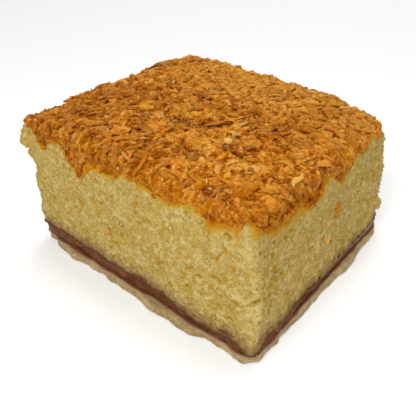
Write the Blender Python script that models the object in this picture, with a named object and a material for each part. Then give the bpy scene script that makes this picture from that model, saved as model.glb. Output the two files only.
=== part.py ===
"""Raspberry coconut slice: one square cut of a tray bake.

Metres, +Z up. The front cut face looks along -Y and the right cut face along +X, so the
near corner is the one at (+X, -Y). From below there are a pastry base, raspberry jam, a
thick sponge and a topping of toasted coconut with shreds fused on. Each layer is one
closed solid that runs through the slice and stands GAP clear of the next. The origin is
the middle of the underside of the whole slice's bounding box.
"""

import math
import random

import bmesh
import bpy
from mathutils import Euler, Matrix, Vector, noise

# The slice: its plan, and the heights where one layer meets the next.
SLICE_WIDTH = 0.0808  # along X, the front face
SLICE_DEPTH = 0.0714  # along Y, the right face
BASE_TOP = 0.0028
JAM_TOP = 0.0062
SPONGE_TOP = 0.0374  # in the middle; its rim follows the coconut's lower edge
CROWN = 0.0425  # the topping's level in the middle
GAP = 0.0003  # clearance between layers

# The top isn't level: how far it falls towards +X and towards +Y, how much the two
# diagonals differ, how far it rounds off at the sides, and how far it swells at the back.
FALL_X = 0.0011
FALL_Y = 0.0017
TWIST = 0.0013
ROUNDING = 0.0010
ROUNDING_LEFT = 0.0013
SWELL = 0.0012

# Broad dips and swells of the top near its sides: (x, y, rise, reach).
TOP_WAVES = [
    (-0.0404, -0.0345, -0.0004, 0.0045),
    (-0.0404, -0.0240, -0.0012, 0.0040),
    (-0.0404, 0.0060, -0.0016, 0.0045),
    (-0.0404, 0.0340, -0.0014, 0.0060),
    (-0.0240, 0.0357, -0.0006, 0.0080),
    (-0.0110, 0.0357, -0.0010, 0.0040),
    (0.0215, 0.0357, 0.0012, 0.0050),
]

# Plan radius of each corner, by whether it lies towards +X and towards +Y.
CORNER_RADIUS = {
    (True, False): 0.0020,
    (False, False): 0.0030,
    (True, True): 0.0065,
    (False, True): 0.0060,
}

# The cuts aren't square: each corner's shift in X and Y at the foot and at the top.
CORNER_SHIFT = {
    (True, False): ((0.0020, -0.0010), (0.0010, -0.0010)),
    (False, False): ((-0.0005, 0.0010), (-0.0005, 0.0010)),
    (True, True): ((-0.0010, 0.0005), (-0.0020, -0.0010)),
    (False, True): ((0.0000, 0.0005), (0.0005, 0.0005)),
}

# The near corner's upright edge isn't straight: how far it bows in X and Y, how wide the
# bow is, the height where it is deepest, and how far up and down it reaches.
BOW = (0.0009, 0.0008)
BOW_WIDTH = 0.0050
BOW_HEIGHT = 0.0215
BOW_REACH = 0.0110

# Cells of the grid that every layer's outline follows.
CELLS_X = 28
CELLS_Y = 26
SPONGE_COURSES = 9
FLAT_INSET = 0.0060  # layers meet on a plane this far inside their edge
BAND_INSET = 0.0030

# How far each layer's side stands out from the plan.
BASE_PROUD = 0.0005
JAM_PROUD = -0.0002
TOPPING_PROUD = 0.0005
TOPPING_SETBACK = 0.0012  # how much further in it stands at the right corner
SETBACK_REACH = 0.0080
BASE_ROUNDING = 0.0008
JAM_DIP = 0.0012  # how far the sponge sinks into the jam at the near corner
JAM_DIP_REACH = 0.0032

# Where the base bulges or is set back: (side, distance from its first corner, out, reach).
BASE_BULGES = [
    ("front", 0.0030, 0.0004, 0.0030),
    ("front", 0.0120, -0.0006, 0.0035),
    ("front", 0.0240, 0.0006, 0.0040),
    ("front", 0.0280, 0.0011, 0.0120),
    ("front", 0.0325, 0.0009, 0.0030),
    ("front", 0.0440, 0.0006, 0.0040),
    ("front", 0.0645, 0.0011, 0.0040),
    ("front", 0.0680, 0.0006, 0.0040),
    ("front", 0.0800, -0.0009, 0.0040),
    ("right", 0.0250, 0.0005, 0.0050),
    ("right", 0.0440, 0.0010, 0.0070),
    ("right", 0.0500, 0.0006, 0.0040),
    ("right", 0.0600, 0.0003, 0.0040),
]

# How far the coconut's lower edge hangs on each side, and where it hangs lower (drop) or
# is drawn up (a negative drop): (distance from the side's first corner, drop, reach).
SIDE_HANG = {"front": -0.0010, "right": 0.0015, "back": 0.0010, "left": 0.0015}
HANGS = {
    "front": [
        (0.0000, -0.0022, 0.0030),
        (0.0100, 0.0016, 0.0032),
        (0.0265, 0.0030, 0.0055),
        (0.0460, 0.0042, 0.0085),
        (0.0535, 0.0020, 0.0030),
        (0.0575, 0.0080, 0.0045),
        (0.0665, 0.0025, 0.0025),
        (0.0718, 0.0070, 0.0030),
        (0.0790, 0.0022, 0.0045),
    ],
    "right": [
        (0.0008, -0.0030, 0.0036),
        (0.0115, 0.0012, 0.0040),
        (0.0258, 0.0028, 0.0035),
        (0.0340, -0.0016, 0.0045),
        (0.0412, 0.0034, 0.0036),
        (0.0485, -0.0018, 0.0050),
        (0.0585, -0.0023, 0.0030),
        (0.0635, -0.0012, 0.0040),
    ],
}
HIDDEN_HANGS = 6  # on each of the other two sides
HIDDEN_DROPS = (0.0045, 0.0025, 0.0020, -0.0012)
HIDDEN_REACH = (0.0030, 0.0060)
HIDDEN_JITTER = (0.2, 0.8)  # where in its share of the side each one hangs
SIDE_BLEND = 0.0005  # how softly one side's edge turns into the next round a corner
TOPPING_SHOULDER = 0.0016  # how much lower the topping's rim is than its top
# Where the coat is thin and its rim hardly lower: (place, share less, reach).
THIN_COATS = [
    ("near corner", 0.7, 0.0060),
    ("left corner", 0.7, 0.0080),
    ("right end", 0.8, 0.0070),
]

# Lumps and notches of the sponge's and the jam's sides: (place, height, outward, reach).
SIDE_LUMPS = [
    ("left corner", 0.0075, 0.0005, 0.0045),
    ("left corner", 0.0200, 0.0004, 0.0120),
    ("left corner", 0.0360, 0.0018, 0.0030),
    ("left corner", 0.0330, -0.0010, 0.0016),
    ("left corner", 0.0312, 0.0008, 0.0020),
    ("left corner", 0.0262, -0.0014, 0.0034),
    ("right corner", 0.0200, 0.0008, 0.0100),
    ("right crumb", 0.0104, 0.0018, 0.0026),
]

# The unevenness of each surface and side: (depth, size of its lumps), added up.
RELIEF = {
    "base_top": ((0.0003, 0.0110),),
    "jam_top": ((0.0006, 0.0070), (0.0005, 0.0035)),
    "sponge_top": ((0.0004, 0.0042),),
    "topping_top": ((0.0006, 0.0060), (0.0005, 0.0032)),
    "base_side": ((0.0005, 0.0060),),
    "jam_side": ((0.0004, 0.0050),),
    "sponge_side": ((0.0006, 0.0120), (0.0005, 0.0050)),
    "topping_side": ((0.0008, 0.0045),),
}

# The shreds that are fused on the topping.
SHRED_COLUMNS = 12
SHRED_ROWS = 10
SHRED_LENGTH = (0.0048, 0.0080)
SHRED_WIDTH = (0.0013, 0.0020)
SHRED_THICKNESS = (0.0009, 0.0012)
SHRED_MARGIN = 0.0022  # how far their middles stay inside the plan
SHRED_RIM = 0.0060  # shreds this near a side lie along it
SHRED_JITTER = (0.1, 0.9)  # where in its own cell of the grid each one lies
SHRED_CURL = (-0.5, 0.9)  # how far its ends bend down, in its thicknesses
SHRED_SWAY = (-0.6, 0.6)  # how far they bend sideways, in its widths
SHRED_TAPER = (0.5, 0.3)  # how much its ends narrow and thin
SHRED_LIFT = (-0.0001, 0.0004)
SHRED_RIM_SINK = 0.0004
SHRED_RIM_TURN = 0.5
SHRED_ROLL = 0.25
SHRED_PITCH = 0.16
SLOPE_STEP = 0.002  # the run over which the top's slope under a shred is taken
SEED = 31

SHARP_ANGLE = math.radians(40)  # edges sharper than this stay crisp
MATERIALS = {
    "pastry_base": ("pastry", (0.60, 0.47, 0.28), 0.7),
    "raspberry_jam": ("jam", (0.14, 0.035, 0.020), 0.3),
    "sponge": ("sponge", (0.72, 0.52, 0.18), 0.85),
    "toasted_coconut": ("coconut", (0.60, 0.22, 0.03), 0.5),
}

# Places in plan that lumps and thin coats go by: the right end lies near the back of the
# right face, and the right crumb where the rounded right corner begins.
HALF_WIDTH = SLICE_WIDTH / 2
HALF_DEPTH = SLICE_DEPTH / 2
RIGHT_END_DISTANCE = 0.0590
RIGHT_CRUMB_INSET = (0.0008, 0.0033)
PLACES = {
    "left corner": Vector((-HALF_WIDTH, -HALF_DEPTH)),
    "near corner": Vector((HALF_WIDTH, -HALF_DEPTH)),
    "right corner": Vector((HALF_WIDTH, HALF_DEPTH)),
    "right end": Vector((HALF_WIDTH, -HALF_DEPTH + RIGHT_END_DISTANCE)),
    "right crumb": Vector((HALF_WIDTH, HALF_DEPTH)) - Vector(RIGHT_CRUMB_INSET),
}


def ease(t):
    """0 to 1 along a smooth step."""
    t = min(max(t, 0.0), 1.0)
    return t * t * (3 - 2 * t)


def relief(name, x, y, z=0.0):
    """How far the named surface lies off its smooth form at this place."""
    total = 0.0
    for i, (depth, size) in enumerate(RELIEF[name]):
        salt = 10 * list(RELIEF).index(name) + i
        place = Vector((x / size + salt, y / size - salt, z / size))
        total += depth * noise.noise(place)
    return total


def bell(distance, reach):
    """1 at no distance, fading to nothing well past this reach."""
    return math.exp(-((distance / reach) ** 2))


def near(place, x, y, reach):
    """1 at the named place of the plan, fading to 0 away from it."""
    return bell((Vector((x, y)) - PLACES[place]).length, reach)


# ---------- the plan ----------


def plan_point(u, v):
    """Where (u, v), each from -1 to 1, lies in the plan with its rounded corners."""
    x, y = u * HALF_WIDTH, v * HALF_DEPTH
    radius = CORNER_RADIUS[u > 0, v > 0]
    past_x = abs(x) - (HALF_WIDTH - radius)
    past_y = abs(y) - (HALF_DEPTH - radius)
    if past_x > 0 and past_y > 0:
        pull = max(past_x, past_y) / math.hypot(past_x, past_y)
        x -= math.copysign(past_x * (1 - pull), x)
        y -= math.copysign(past_y * (1 - pull), y)
    return Vector((x, y))


def outward(u, v):
    """The direction square to the outline at (u, v) on the square's edge."""
    radius = CORNER_RADIUS[u > 0, v > 0]
    past_x = abs(u) * HALF_WIDTH - (HALF_WIDTH - radius)
    past_y = abs(v) * HALF_DEPTH - (HALF_DEPTH - radius)
    if past_x > 0 and past_y > 0:
        away = Vector((math.copysign(past_x, u), math.copysign(past_y, v)))
    elif abs(u) >= abs(v):
        away = Vector((math.copysign(1, u), 0))
    else:
        away = Vector((0, math.copysign(1, v)))
    return away.normalized()


def grid_value(index, cells):
    return 2 * index / cells - 1


def outline_cells():
    """(column, row) of the grid's border points, anticlockwise from (-X, -Y)."""
    front = [(i, 0) for i in range(CELLS_X)]
    right = [(CELLS_X, j) for j in range(CELLS_Y)]
    back = [(i, CELLS_Y) for i in range(CELLS_X, 0, -1)]
    left = [(0, j) for j in range(CELLS_Y, 0, -1)]
    return front + right + back + left


def inset_of(x, y):
    """How far a point lies inside the plan's straight sides."""
    return min(HALF_WIDTH - abs(x), HALF_DEPTH - abs(y))


def edge_share(x, y):
    """1 at the sides, falling to 0 where the layers meet on a level plane."""
    return ease(1 - inset_of(x, y) / FLAT_INSET)


def along(side, x, y):
    """How far along one side of the plan a point lies, and how far inside that side."""
    return {
        "front": (HALF_WIDTH - x, HALF_DEPTH + y),
        "right": (HALF_DEPTH + y, HALF_WIDTH - x),
        "back": (HALF_WIDTH - x, HALF_DEPTH - y),
        "left": (HALF_DEPTH - y, HALF_WIDTH + x),
    }[side]


# ---------- the surfaces between layers ----------


def tilt(x, y):
    """How much higher or lower the tilted upper levels lie at (x, y)."""
    return -FALL_X * x / HALF_WIDTH - FALL_Y * y / HALF_DEPTH


def base_top(x, y):
    return BASE_TOP + relief("base_top", x, y) * edge_share(x, y)


def jam_top(x, y):
    dip = JAM_DIP * near("near corner", x, y, JAM_DIP_REACH)
    return JAM_TOP + (relief("jam_top", x, y) - dip) * edge_share(x, y)


def hidden_hangs():
    """Hangs like the listed ones, for the back and the left side."""
    draw = random.Random(SEED)
    hangs = {}
    for side, length in (("back", SLICE_WIDTH), ("left", SLICE_DEPTH)):
        hangs[side] = []
        for i in range(HIDDEN_HANGS):
            distance = length * (i + draw.uniform(*HIDDEN_JITTER)) / HIDDEN_HANGS
            hangs[side].append((distance, draw.choice(HIDDEN_DROPS), draw.uniform(*HIDDEN_REACH)))
    return hangs


ALL_HANGS = HANGS | hidden_hangs()


def coconut_edge(x, y):
    """The height of the coconut's lower edge, each side's blended round the corners."""
    total = weights = 0.0
    for side, hangs in ALL_HANGS.items():
        distance, inside = along(side, x, y)
        drop = SIDE_HANG[side]
        for centre, depth, reach in hangs:
            drop += depth * bell(distance - centre, reach)
        weight = 1 / (max(inside, 0.0) + SIDE_BLEND) ** 2
        total += drop * weight
        weights += weight
    return SPONGE_TOP + tilt(x, y) - total / weights


def sponge_top(x, y):
    """The sponge's upper surface, which dips at the sides where the coconut hangs down."""
    share = edge_share(x, y)
    edge = coconut_edge(x, y) + relief("sponge_top", x, y)
    return edge * share + SPONGE_TOP * (1 - share)


def topping_top(x, y):
    """The topping's upper surface: a low crown that falls away most at the right corner."""
    u, v = x / HALF_WIDTH, y / HALF_DEPTH
    z = CROWN + tilt(x, y) - TWIST * u * v + SWELL * (1 - u * u) * (1 + v) / 2
    z -= (ROUNDING_LEFT if u < 0 else ROUNDING) * u**4 + ROUNDING * v**4
    for wave_x, wave_y, rise, reach in TOP_WAVES:
        z += rise * bell(math.hypot(x - wave_x, y - wave_y), reach)
    return z + relief("topping_top", x, y)


def topping_rim(x, y):
    """The upper edge of the topping's sides."""
    shoulder = TOPPING_SHOULDER
    for place, less, reach in THIN_COATS:
        shoulder -= TOPPING_SHOULDER * less * near(place, x, y, reach)
    return topping_top(x, y) - shoulder


# ---------- the sides ----------


def base_side(x, y, z):
    out = BASE_PROUD + relief("base_side", x, y, z)
    for side, centre, bulge, reach in BASE_BULGES:
        distance, inside = along(side, x, y)
        out += bulge * bell(distance - centre, reach) * bell(inside, reach)
    return out


def side_lumps(x, y, z):
    return sum(
        lump * near(place, x, y, reach) * bell(z - height, reach)
        for place, height, lump, reach in SIDE_LUMPS
    )


def jam_side(x, y, z):
    return JAM_PROUD + relief("jam_side", x, y, z) + side_lumps(x, y, z)


def sponge_side(x, y, z):
    return relief("sponge_side", x, y, z) + side_lumps(x, y, z)


def topping_side(x, y, z):
    setback = TOPPING_SETBACK * near("right corner", x, y, SETBACK_REACH)
    return TOPPING_PROUD + relief("topping_side", x, y, z) - setback


# ---------- solids from rings of points ----------


def ring(height, inset=0.0, side=None, offset=0.0):
    """One ring of points round the slice, at height(x, y) and inset from the plan."""
    shrink_x = 1 - inset / HALF_WIDTH
    shrink_y = 1 - inset / HALF_DEPTH
    points = []
    for i, j in outline_cells():
        u, v = grid_value(i, CELLS_X), grid_value(j, CELLS_Y)
        plan = plan_point(u * shrink_x, v * shrink_y)
        z = height(plan.x, plan.y)
        if side:
            plan += outward(u, v) * (side(plan.x, plan.y, z) + offset)
        points.append((plan.x, plan.y, z))
    return points


def between(low, high, share):
    """The surface this share of the way from one surface up to another."""
    return lambda x, y: low(x, y) * (1 - share) + high(x, y) * share


def raised(surface, lift):
    return lambda x, y: surface(x, y) + lift


def level(z):
    return lambda x, y: z


def meeting_rings(surface):
    """The two inner rings of a surface where layers meet, from the middle outwards."""
    return [ring(surface, FLAT_INSET), ring(surface, BAND_INSET)]


def spread(points):
    """How far out a ring lies as a whole."""
    return sum(math.hypot(x, y) for x, y, z in points)


def skin(rings, name, top_surface=None):
    """A closed mesh through these rings, lowest first.

    Its underside is one flat face. Its top is one too, or the grid of top_surface. The
    crooked cells between rings are cut so that the layers on either side of a gap match.
    """
    bm = bmesh.new()
    loops = [[bm.verts.new(point) for point in points] for points in rings]
    count = len(loops[0])
    for i in range(len(rings) - 1):
        inwards = spread(rings[i + 1]) < spread(rings[i])
        for k in range(count):
            after = (k + 1) % count
            a, b, c, d = loops[i][k], loops[i][after], loops[i + 1][after], loops[i + 1][k]
            for corners in ((a, b, c), (a, c, d)) if inwards else ((a, b, d), (b, c, d)):
                bm.faces.new(corners)
    bm.faces.new(reversed(loops[0]))
    if top_surface:
        grid = dict(zip(outline_cells(), loops[-1]))
        for i in range(1, CELLS_X):
            for j in range(1, CELLS_Y):
                plan = plan_point(grid_value(i, CELLS_X), grid_value(j, CELLS_Y))
                z = top_surface(plan.x, plan.y)
                grid[i, j] = bm.verts.new((plan.x, plan.y, z))
        for i in range(CELLS_X):
            for j in range(CELLS_Y):
                corners = ((i, j), (i + 1, j), (i + 1, j + 1), (i, j + 1))
                bm.faces.new([grid[corner] for corner in corners])
    else:
        bm.faces.new(loops[-1])
    bmesh.ops.recalc_face_normals(bm, faces=bm.faces)
    mesh = bpy.data.meshes.new(name)
    bm.to_mesh(mesh)
    bm.free()
    return mesh


def plain_material(name, colour, roughness):
    """A Principled material of one colour."""
    material = bpy.data.materials.new(name)
    material.use_nodes = True
    shader = material.node_tree.nodes["Principled BSDF"]
    shader.inputs["Base Color"].default_value = (*colour, 1)
    shader.inputs["Roughness"].default_value = roughness
    shader.inputs["Metallic"].default_value = 0.0
    return material


def place(name, mesh):
    """One layer as an object with its material, smooth but for its real edges."""
    mesh.materials.append(plain_material(*MATERIALS[name]))
    mesh.shade_smooth()
    mesh.set_sharp_from_angle(angle=SHARP_ANGLE)
    obj = bpy.data.objects.new(name, mesh)
    bpy.context.scene.collection.objects.link(obj)
    return obj


# ---------- the layers ----------


def make_base():
    """The pastry: flat below, a little proud of the rest, with rounded edges."""
    rings = [
        ring(level(0.0), side=base_side, offset=-BASE_ROUNDING),
        ring(level(BASE_ROUNDING), side=base_side),
        ring(raised(base_top, -BASE_ROUNDING), side=base_side),
        ring(base_top, side=base_side, offset=-BASE_ROUNDING),
        *reversed(meeting_rings(base_top)),
    ]
    return place("pastry_base", skin(rings, "pastry_base"))


def make_jam():
    """The jam, a little set back from the layers it lies between."""
    underside = raised(base_top, GAP)
    rings = [
        *meeting_rings(underside),
        ring(underside, side=jam_side),
        ring(between(underside, jam_top, 0.5), side=jam_side),
        ring(jam_top, side=jam_side),
        *reversed(meeting_rings(jam_top)),
    ]
    return place("raspberry_jam", skin(rings, "raspberry_jam"))


def make_sponge():
    """The sponge, with a wall of courses that follows its cut faces."""
    underside = raised(jam_top, GAP)
    rings = meeting_rings(underside)
    for course in range(SPONGE_COURSES + 1):
        surface = between(underside, sponge_top, course / SPONGE_COURSES)
        rings.append(ring(surface, side=sponge_side))
    rings += reversed(meeting_rings(sponge_top))
    return place("sponge", skin(rings, "sponge"))


def make_topping_core():
    """The packed coconut that the shreds are fused to."""
    underside = raised(sponge_top, GAP)
    rings = [
        *meeting_rings(underside),
        ring(underside, side=sponge_side),
        ring(between(underside, topping_rim, 0.5), side=topping_side),
        ring(topping_rim, side=topping_side),
    ]
    mesh = skin(rings, "toasted_coconut", top_surface=topping_top)
    return place("toasted_coconut", mesh)


# ---------- the shreds ----------


def shred_mesh(draw):
    """A flat bent strip of coconut, tapered at both ends, along X."""
    length = draw.uniform(*SHRED_LENGTH)
    width = draw.uniform(*SHRED_WIDTH)
    thickness = draw.uniform(*SHRED_THICKNESS)
    curl = draw.uniform(*SHRED_CURL) * thickness
    sway = draw.uniform(*SHRED_SWAY) * width
    narrowing, thinning = SHRED_TAPER
    bm = bmesh.new()
    stations = []
    for t in (-1, 0, 1):
        half_width = width / 2 * (1 - narrowing * t * t)
        half_thick = thickness / 2 * (1 - thinning * t * t)
        centre = Vector((t * length / 2, sway * t * t, -curl * t * t))
        corners = ((-1, -1), (1, -1), (1, 1), (-1, 1))
        stations.append(
            [bm.verts.new(centre + Vector((0, a * half_width, b * half_thick))) for a, b in corners]
        )
    for here, there in zip(stations, stations[1:]):
        for k in range(4):
            after = (k + 1) % 4
            bm.faces.new((here[k], here[after], there[after], there[k]))
    bm.faces.new(stations[0])
    bm.faces.new(reversed(stations[-1]))
    bmesh.ops.recalc_face_normals(bm, faces=bm.faces)
    mesh = bpy.data.meshes.new("shred")
    bm.to_mesh(mesh)
    bm.free()
    return mesh


def surface_turn(x, y):
    """The rotation that lays a flat thing on the topping at (x, y)."""
    step = SLOPE_STEP
    slope_x = (topping_top(x + step, y) - topping_top(x - step, y)) / (2 * step)
    slope_y = (topping_top(x, y + step) - topping_top(x, y - step)) / (2 * step)
    up = Vector((-slope_x, -slope_y, 1)).normalized()
    return Vector((0, 0, 1)).rotation_difference(up).to_matrix().to_4x4()


def scatter_shreds(collection):
    """Shreds spread evenly over the topping, one in each cell of a jittered grid."""
    draw = random.Random(SEED)
    span_u = 1 - SHRED_MARGIN / HALF_WIDTH
    span_v = 1 - SHRED_MARGIN / HALF_DEPTH
    for column in range(SHRED_COLUMNS):
        for row in range(SHRED_ROWS):
            u = 2 * (column + draw.uniform(*SHRED_JITTER)) / SHRED_COLUMNS - 1
            v = 2 * (row + draw.uniform(*SHRED_JITTER)) / SHRED_ROWS - 1
            plan = plan_point(u * span_u, v * span_v)
            turn = draw.uniform(0, math.tau)
            lift = draw.uniform(*SHRED_LIFT)
            if inset_of(plan.x, plan.y) < SHRED_RIM:
                away = outward(u, v)
                turn = math.atan2(away.y, away.x) + math.pi / 2
                turn += draw.uniform(-SHRED_RIM_TURN, SHRED_RIM_TURN)
                lift -= SHRED_RIM_SINK
            roll = draw.uniform(-SHRED_ROLL, SHRED_ROLL)
            pitch = draw.uniform(-SHRED_PITCH, SHRED_PITCH)
            shred = bpy.data.objects.new("shred", shred_mesh(draw))
            shred.matrix_world = (
                Matrix.Translation((plan.x, plan.y, topping_top(plan.x, plan.y) + lift))
                @ surface_turn(plan.x, plan.y)
                @ Matrix.Rotation(turn, 4, "Z")
                @ Euler((roll, pitch, 0)).to_matrix().to_4x4()
            )
            collection.objects.link(shred)


def keep_largest_body(mesh):
    """Drops loose scraps and the skins of sealed hollows, which fills those."""
    bm = bmesh.new()
    bm.from_mesh(mesh)
    left = set(bm.verts)
    bodies = []
    while left:
        body, front = set(), [left.pop()]
        while front:
            vert = front.pop()
            body.add(vert)
            beside = {edge.other_vert(vert) for edge in vert.link_edges} & left
            left -= beside
            front += beside
        bodies.append(body)
    bodies.sort(key=len)
    bmesh.ops.delete(bm, geom=[vert for body in bodies[:-1] for vert in body], context="VERTS")
    bm.to_mesh(mesh)
    bm.free()


def fuse_shreds(core):
    """Joins the shreds to the topping with one Boolean union, which is applied."""
    shreds = bpy.data.collections.new("shreds")
    bpy.context.scene.collection.children.link(shreds)
    scatter_shreds(shreds)
    union = core.modifiers.new("union", "BOOLEAN")
    union.operation = "UNION"
    union.operand_type = "COLLECTION"
    union.collection = shreds
    union.solver = "MANIFOLD"
    bpy.context.view_layer.update()
    joined = core.evaluated_get(bpy.context.evaluated_depsgraph_get())
    fused = bpy.data.meshes.new_from_object(joined)
    core.modifiers.clear()
    keep_largest_body(fused)
    core.data = fused
    for obj in list(shreds.objects):
        bpy.data.objects.remove(obj)
    bpy.data.collections.remove(shreds)


# ---------- the whole slice ----------


def lean(mesh):
    """Shifts a layer's points so that the slice has its uneven corners and bowed edge."""
    for vert in mesh.vertices:
        x, y, z = vert.co
        bow = near("near corner", x, y, BOW_WIDTH) * bell(z - BOW_HEIGHT, BOW_REACH)
        vert.co.x += bow * BOW[0]
        vert.co.y += bow * BOW[1]
        t = z / CROWN
        for (to_right, to_back), (foot, top) in CORNER_SHIFT.items():
            share = 1 + (x if to_right else -x) / HALF_WIDTH
            share *= 1 + (y if to_back else -y) / HALF_DEPTH
            vert.co.x += share / 4 * (foot[0] * (1 - t) + top[0] * t)
            vert.co.y += share / 4 * (foot[1] * (1 - t) + top[1] * t)


def centre_on_origin(objects):
    """Moves the layers so that the origin is the middle of the underside of their box."""
    corners = [obj.matrix_world @ vert.co for obj in objects for vert in obj.data.vertices]
    low = [min(corner[axis] for corner in corners) for axis in range(3)]
    high = [max(corner[axis] for corner in corners) for axis in range(3)]
    middle = Vector(((low[0] + high[0]) / 2, (low[1] + high[1]) / 2, low[2]))
    for obj in objects:
        obj.location -= middle


def clear_scene():
    """Removes every object that the file starts with."""
    for obj in list(bpy.data.objects):
        bpy.data.objects.remove(obj)


def main():
    clear_scene()
    layers = [make_base(), make_jam(), make_sponge(), make_topping_core()]
    fuse_shreds(layers[-1])
    for layer in layers:
        lean(layer.data)
    centre_on_origin(layers)


main()
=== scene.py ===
"""The look of the raspberry coconut slice: crumb, jam, pastry and toasted coconut shreds.

Metres, +Z up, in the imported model's frame. The layers' smooth forms come from the same
named sizes as the solids; the fine surface, the loose shreds and the materials are here.
"""

import math
import random

import bmesh
import bpy
import numpy as np
from mathutils import Matrix, Vector, noise
from mathutils.kdtree import KDTree


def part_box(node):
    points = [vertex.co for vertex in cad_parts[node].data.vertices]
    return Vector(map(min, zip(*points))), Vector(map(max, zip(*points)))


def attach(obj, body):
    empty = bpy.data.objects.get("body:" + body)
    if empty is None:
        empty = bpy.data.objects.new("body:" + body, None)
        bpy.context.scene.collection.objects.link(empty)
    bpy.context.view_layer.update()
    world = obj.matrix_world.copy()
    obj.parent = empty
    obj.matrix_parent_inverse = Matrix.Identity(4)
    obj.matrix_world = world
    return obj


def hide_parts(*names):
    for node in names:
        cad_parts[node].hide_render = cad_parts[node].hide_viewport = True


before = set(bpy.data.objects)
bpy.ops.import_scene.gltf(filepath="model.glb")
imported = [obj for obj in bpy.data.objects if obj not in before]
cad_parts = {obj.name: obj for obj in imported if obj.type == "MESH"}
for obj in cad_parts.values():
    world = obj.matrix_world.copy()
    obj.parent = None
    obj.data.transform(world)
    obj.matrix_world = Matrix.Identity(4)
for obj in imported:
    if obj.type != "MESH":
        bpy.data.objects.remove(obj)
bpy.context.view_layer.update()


def mm(*rows, plain=()):
    """Rows of millimetres as metres; words and the plain columns stay as they are."""

    def metres(i, value):
        return value if i in plain or isinstance(value, str) else round(value / 1000, 7)

    return [tuple(metres(i, value) for i, value in enumerate(row)) for row in rows]


# ---------- the slice's form, as in its solids ----------

SLICE_WIDTH = 0.0808
SLICE_DEPTH = 0.0714
BASE_TOP = 0.0028
JAM_TOP = 0.0062
SPONGE_TOP = 0.0374
CROWN = 0.0425
GAP = 0.0003
FALL_X = 0.0011
FALL_Y = 0.0017
TWIST = 0.0013
ROUNDING = 0.001
ROUNDING_LEFT = 0.0013
SWELL = 0.0012
# Where the top rises or sinks: (x, y, rise, reach).
TOP_WAVES = mm(
    (-40.4, -34.5, -0.4, 4.5), (-40.4, -24, -1.2, 4), (-40.4, 6, -1.6, 4.5),
    (-40.4, 34, -1.4, 6), (-24, 35.7, -0.6, 8), (-11, 35.7, -1, 4), (21.5, 35.7, 1.2, 5),
)
# The corners, by whether they are on the right and at the back; shifts at foot and top.
CORNER_RADIUS = {
    (True, False): 0.002,
    (False, False): 0.003,
    (True, True): 0.0065,
    (False, True): 0.006,
}
CORNER_SHIFT = {
    (True, False): mm((2, -1), (1, -1)),
    (False, False): mm((-0.5, 1), (-0.5, 1)),
    (True, True): mm((-1, 0.5), (-2, -1)),
    (False, True): mm((0, 0.5), (0.5, 0.5)),
}
BOW = (0.0009, 0.0008)
BOW_WIDTH = 0.005
BOW_HEIGHT = 0.0215
BOW_REACH = 0.011
SOLID_CELLS = (28, 26)
FLAT_INSET = 0.006
BAND_INSET = 0.003
BASE_PROUD = 0.0005
JAM_PROUD = -0.0002
TOPPING_PROUD = 0.0005
TOPPING_SETBACK = 0.0012
SETBACK_REACH = 0.008
JAM_DIP = 0.0012
JAM_DIP_REACH = 0.0032
# Bulges of the base's edge: (side, distance along it, out, reach).
BASE_BULGES = mm(
    ("front", 3, 0.4, 3), ("front", 12, -0.6, 3.5), ("front", 24, 0.6, 4),
    ("front", 28, 1.1, 12), ("front", 32.5, 0.9, 3), ("front", 44, 0.6, 4),
    ("front", 64.5, 1.1, 4), ("front", 68, 0.6, 4), ("front", 80, -0.9, 4),
    ("right", 25, 0.5, 5), ("right", 44, 1, 7), ("right", 50, 0.6, 4), ("right", 60, 0.3, 4),
)
# How far the coconut hangs down each side: (distance along it, drop, reach).
SIDE_HANG = {"front": -0.001, "right": 0.0015, "back": 0.001, "left": 0.0015}
HANGS = {
    "front": mm(
        (0, -2.2, 3), (10, 1.6, 3.2), (26.5, 3, 5.5), (46, 4.2, 8.5), (53.5, 2, 3),
        (57.5, 8, 4.5), (66.5, 2.5, 2.5), (71.8, 7, 3), (79, 2.2, 4.5),
    ),
    "right": mm(
        (0.8, -3, 3.6), (11.5, 1.2, 4), (25.8, 2.8, 3.5), (34, -1.6, 4.5),
        (41.2, 3.4, 3.6), (48.5, -1.8, 5), (58.5, -2.3, 3), (63.5, -1.2, 4),
    ),
}
HIDDEN_HANGS = 6
HIDDEN_DROPS = (0.0045, 0.0025, 0.002, -0.0012)
HIDDEN_REACH = (0.003, 0.006)
HIDDEN_JITTER = (0.2, 0.8)
SIDE_BLEND = 0.0005
TOPPING_SHOULDER = 0.0016
THIN_COATS = mm(
    ("near corner", 0.7, 6), ("left corner", 0.7, 8), ("right end", 0.8, 7), plain=(1,)
)
# Lumps on the sponge's corners: (place, height, outward, reach).
SIDE_LUMPS = mm(
    ("left corner", 7.5, 0.5, 4.5), ("left corner", 20, 0.4, 12),
    ("left corner", 36, 1.8, 3), ("left corner", 33, -1, 1.6),
    ("left corner", 31.2, 0.8, 2), ("left corner", 26.2, -1.4, 3.4),
    ("right corner", 20, 0.8, 10), ("right crumb", 10.4, 1.8, 2.6),
)
RELIEF = {  # (depth, size of the lumps)
    "base_top": mm((0.3, 11)),
    "jam_top": mm((0.6, 7), (0.5, 3.5)),
    "sponge_top": mm((0.4, 4.2)),
    "topping_top": mm((0.6, 6), (0.5, 3.2)),
    "base_side": mm((0.5, 6)),
    "jam_side": mm((0.4, 5)),
    "sponge_side": mm((0.6, 12), (0.5, 5)),
    "topping_side": mm((0.8, 4.5)),
}
SOLID_SEED = 31

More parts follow.
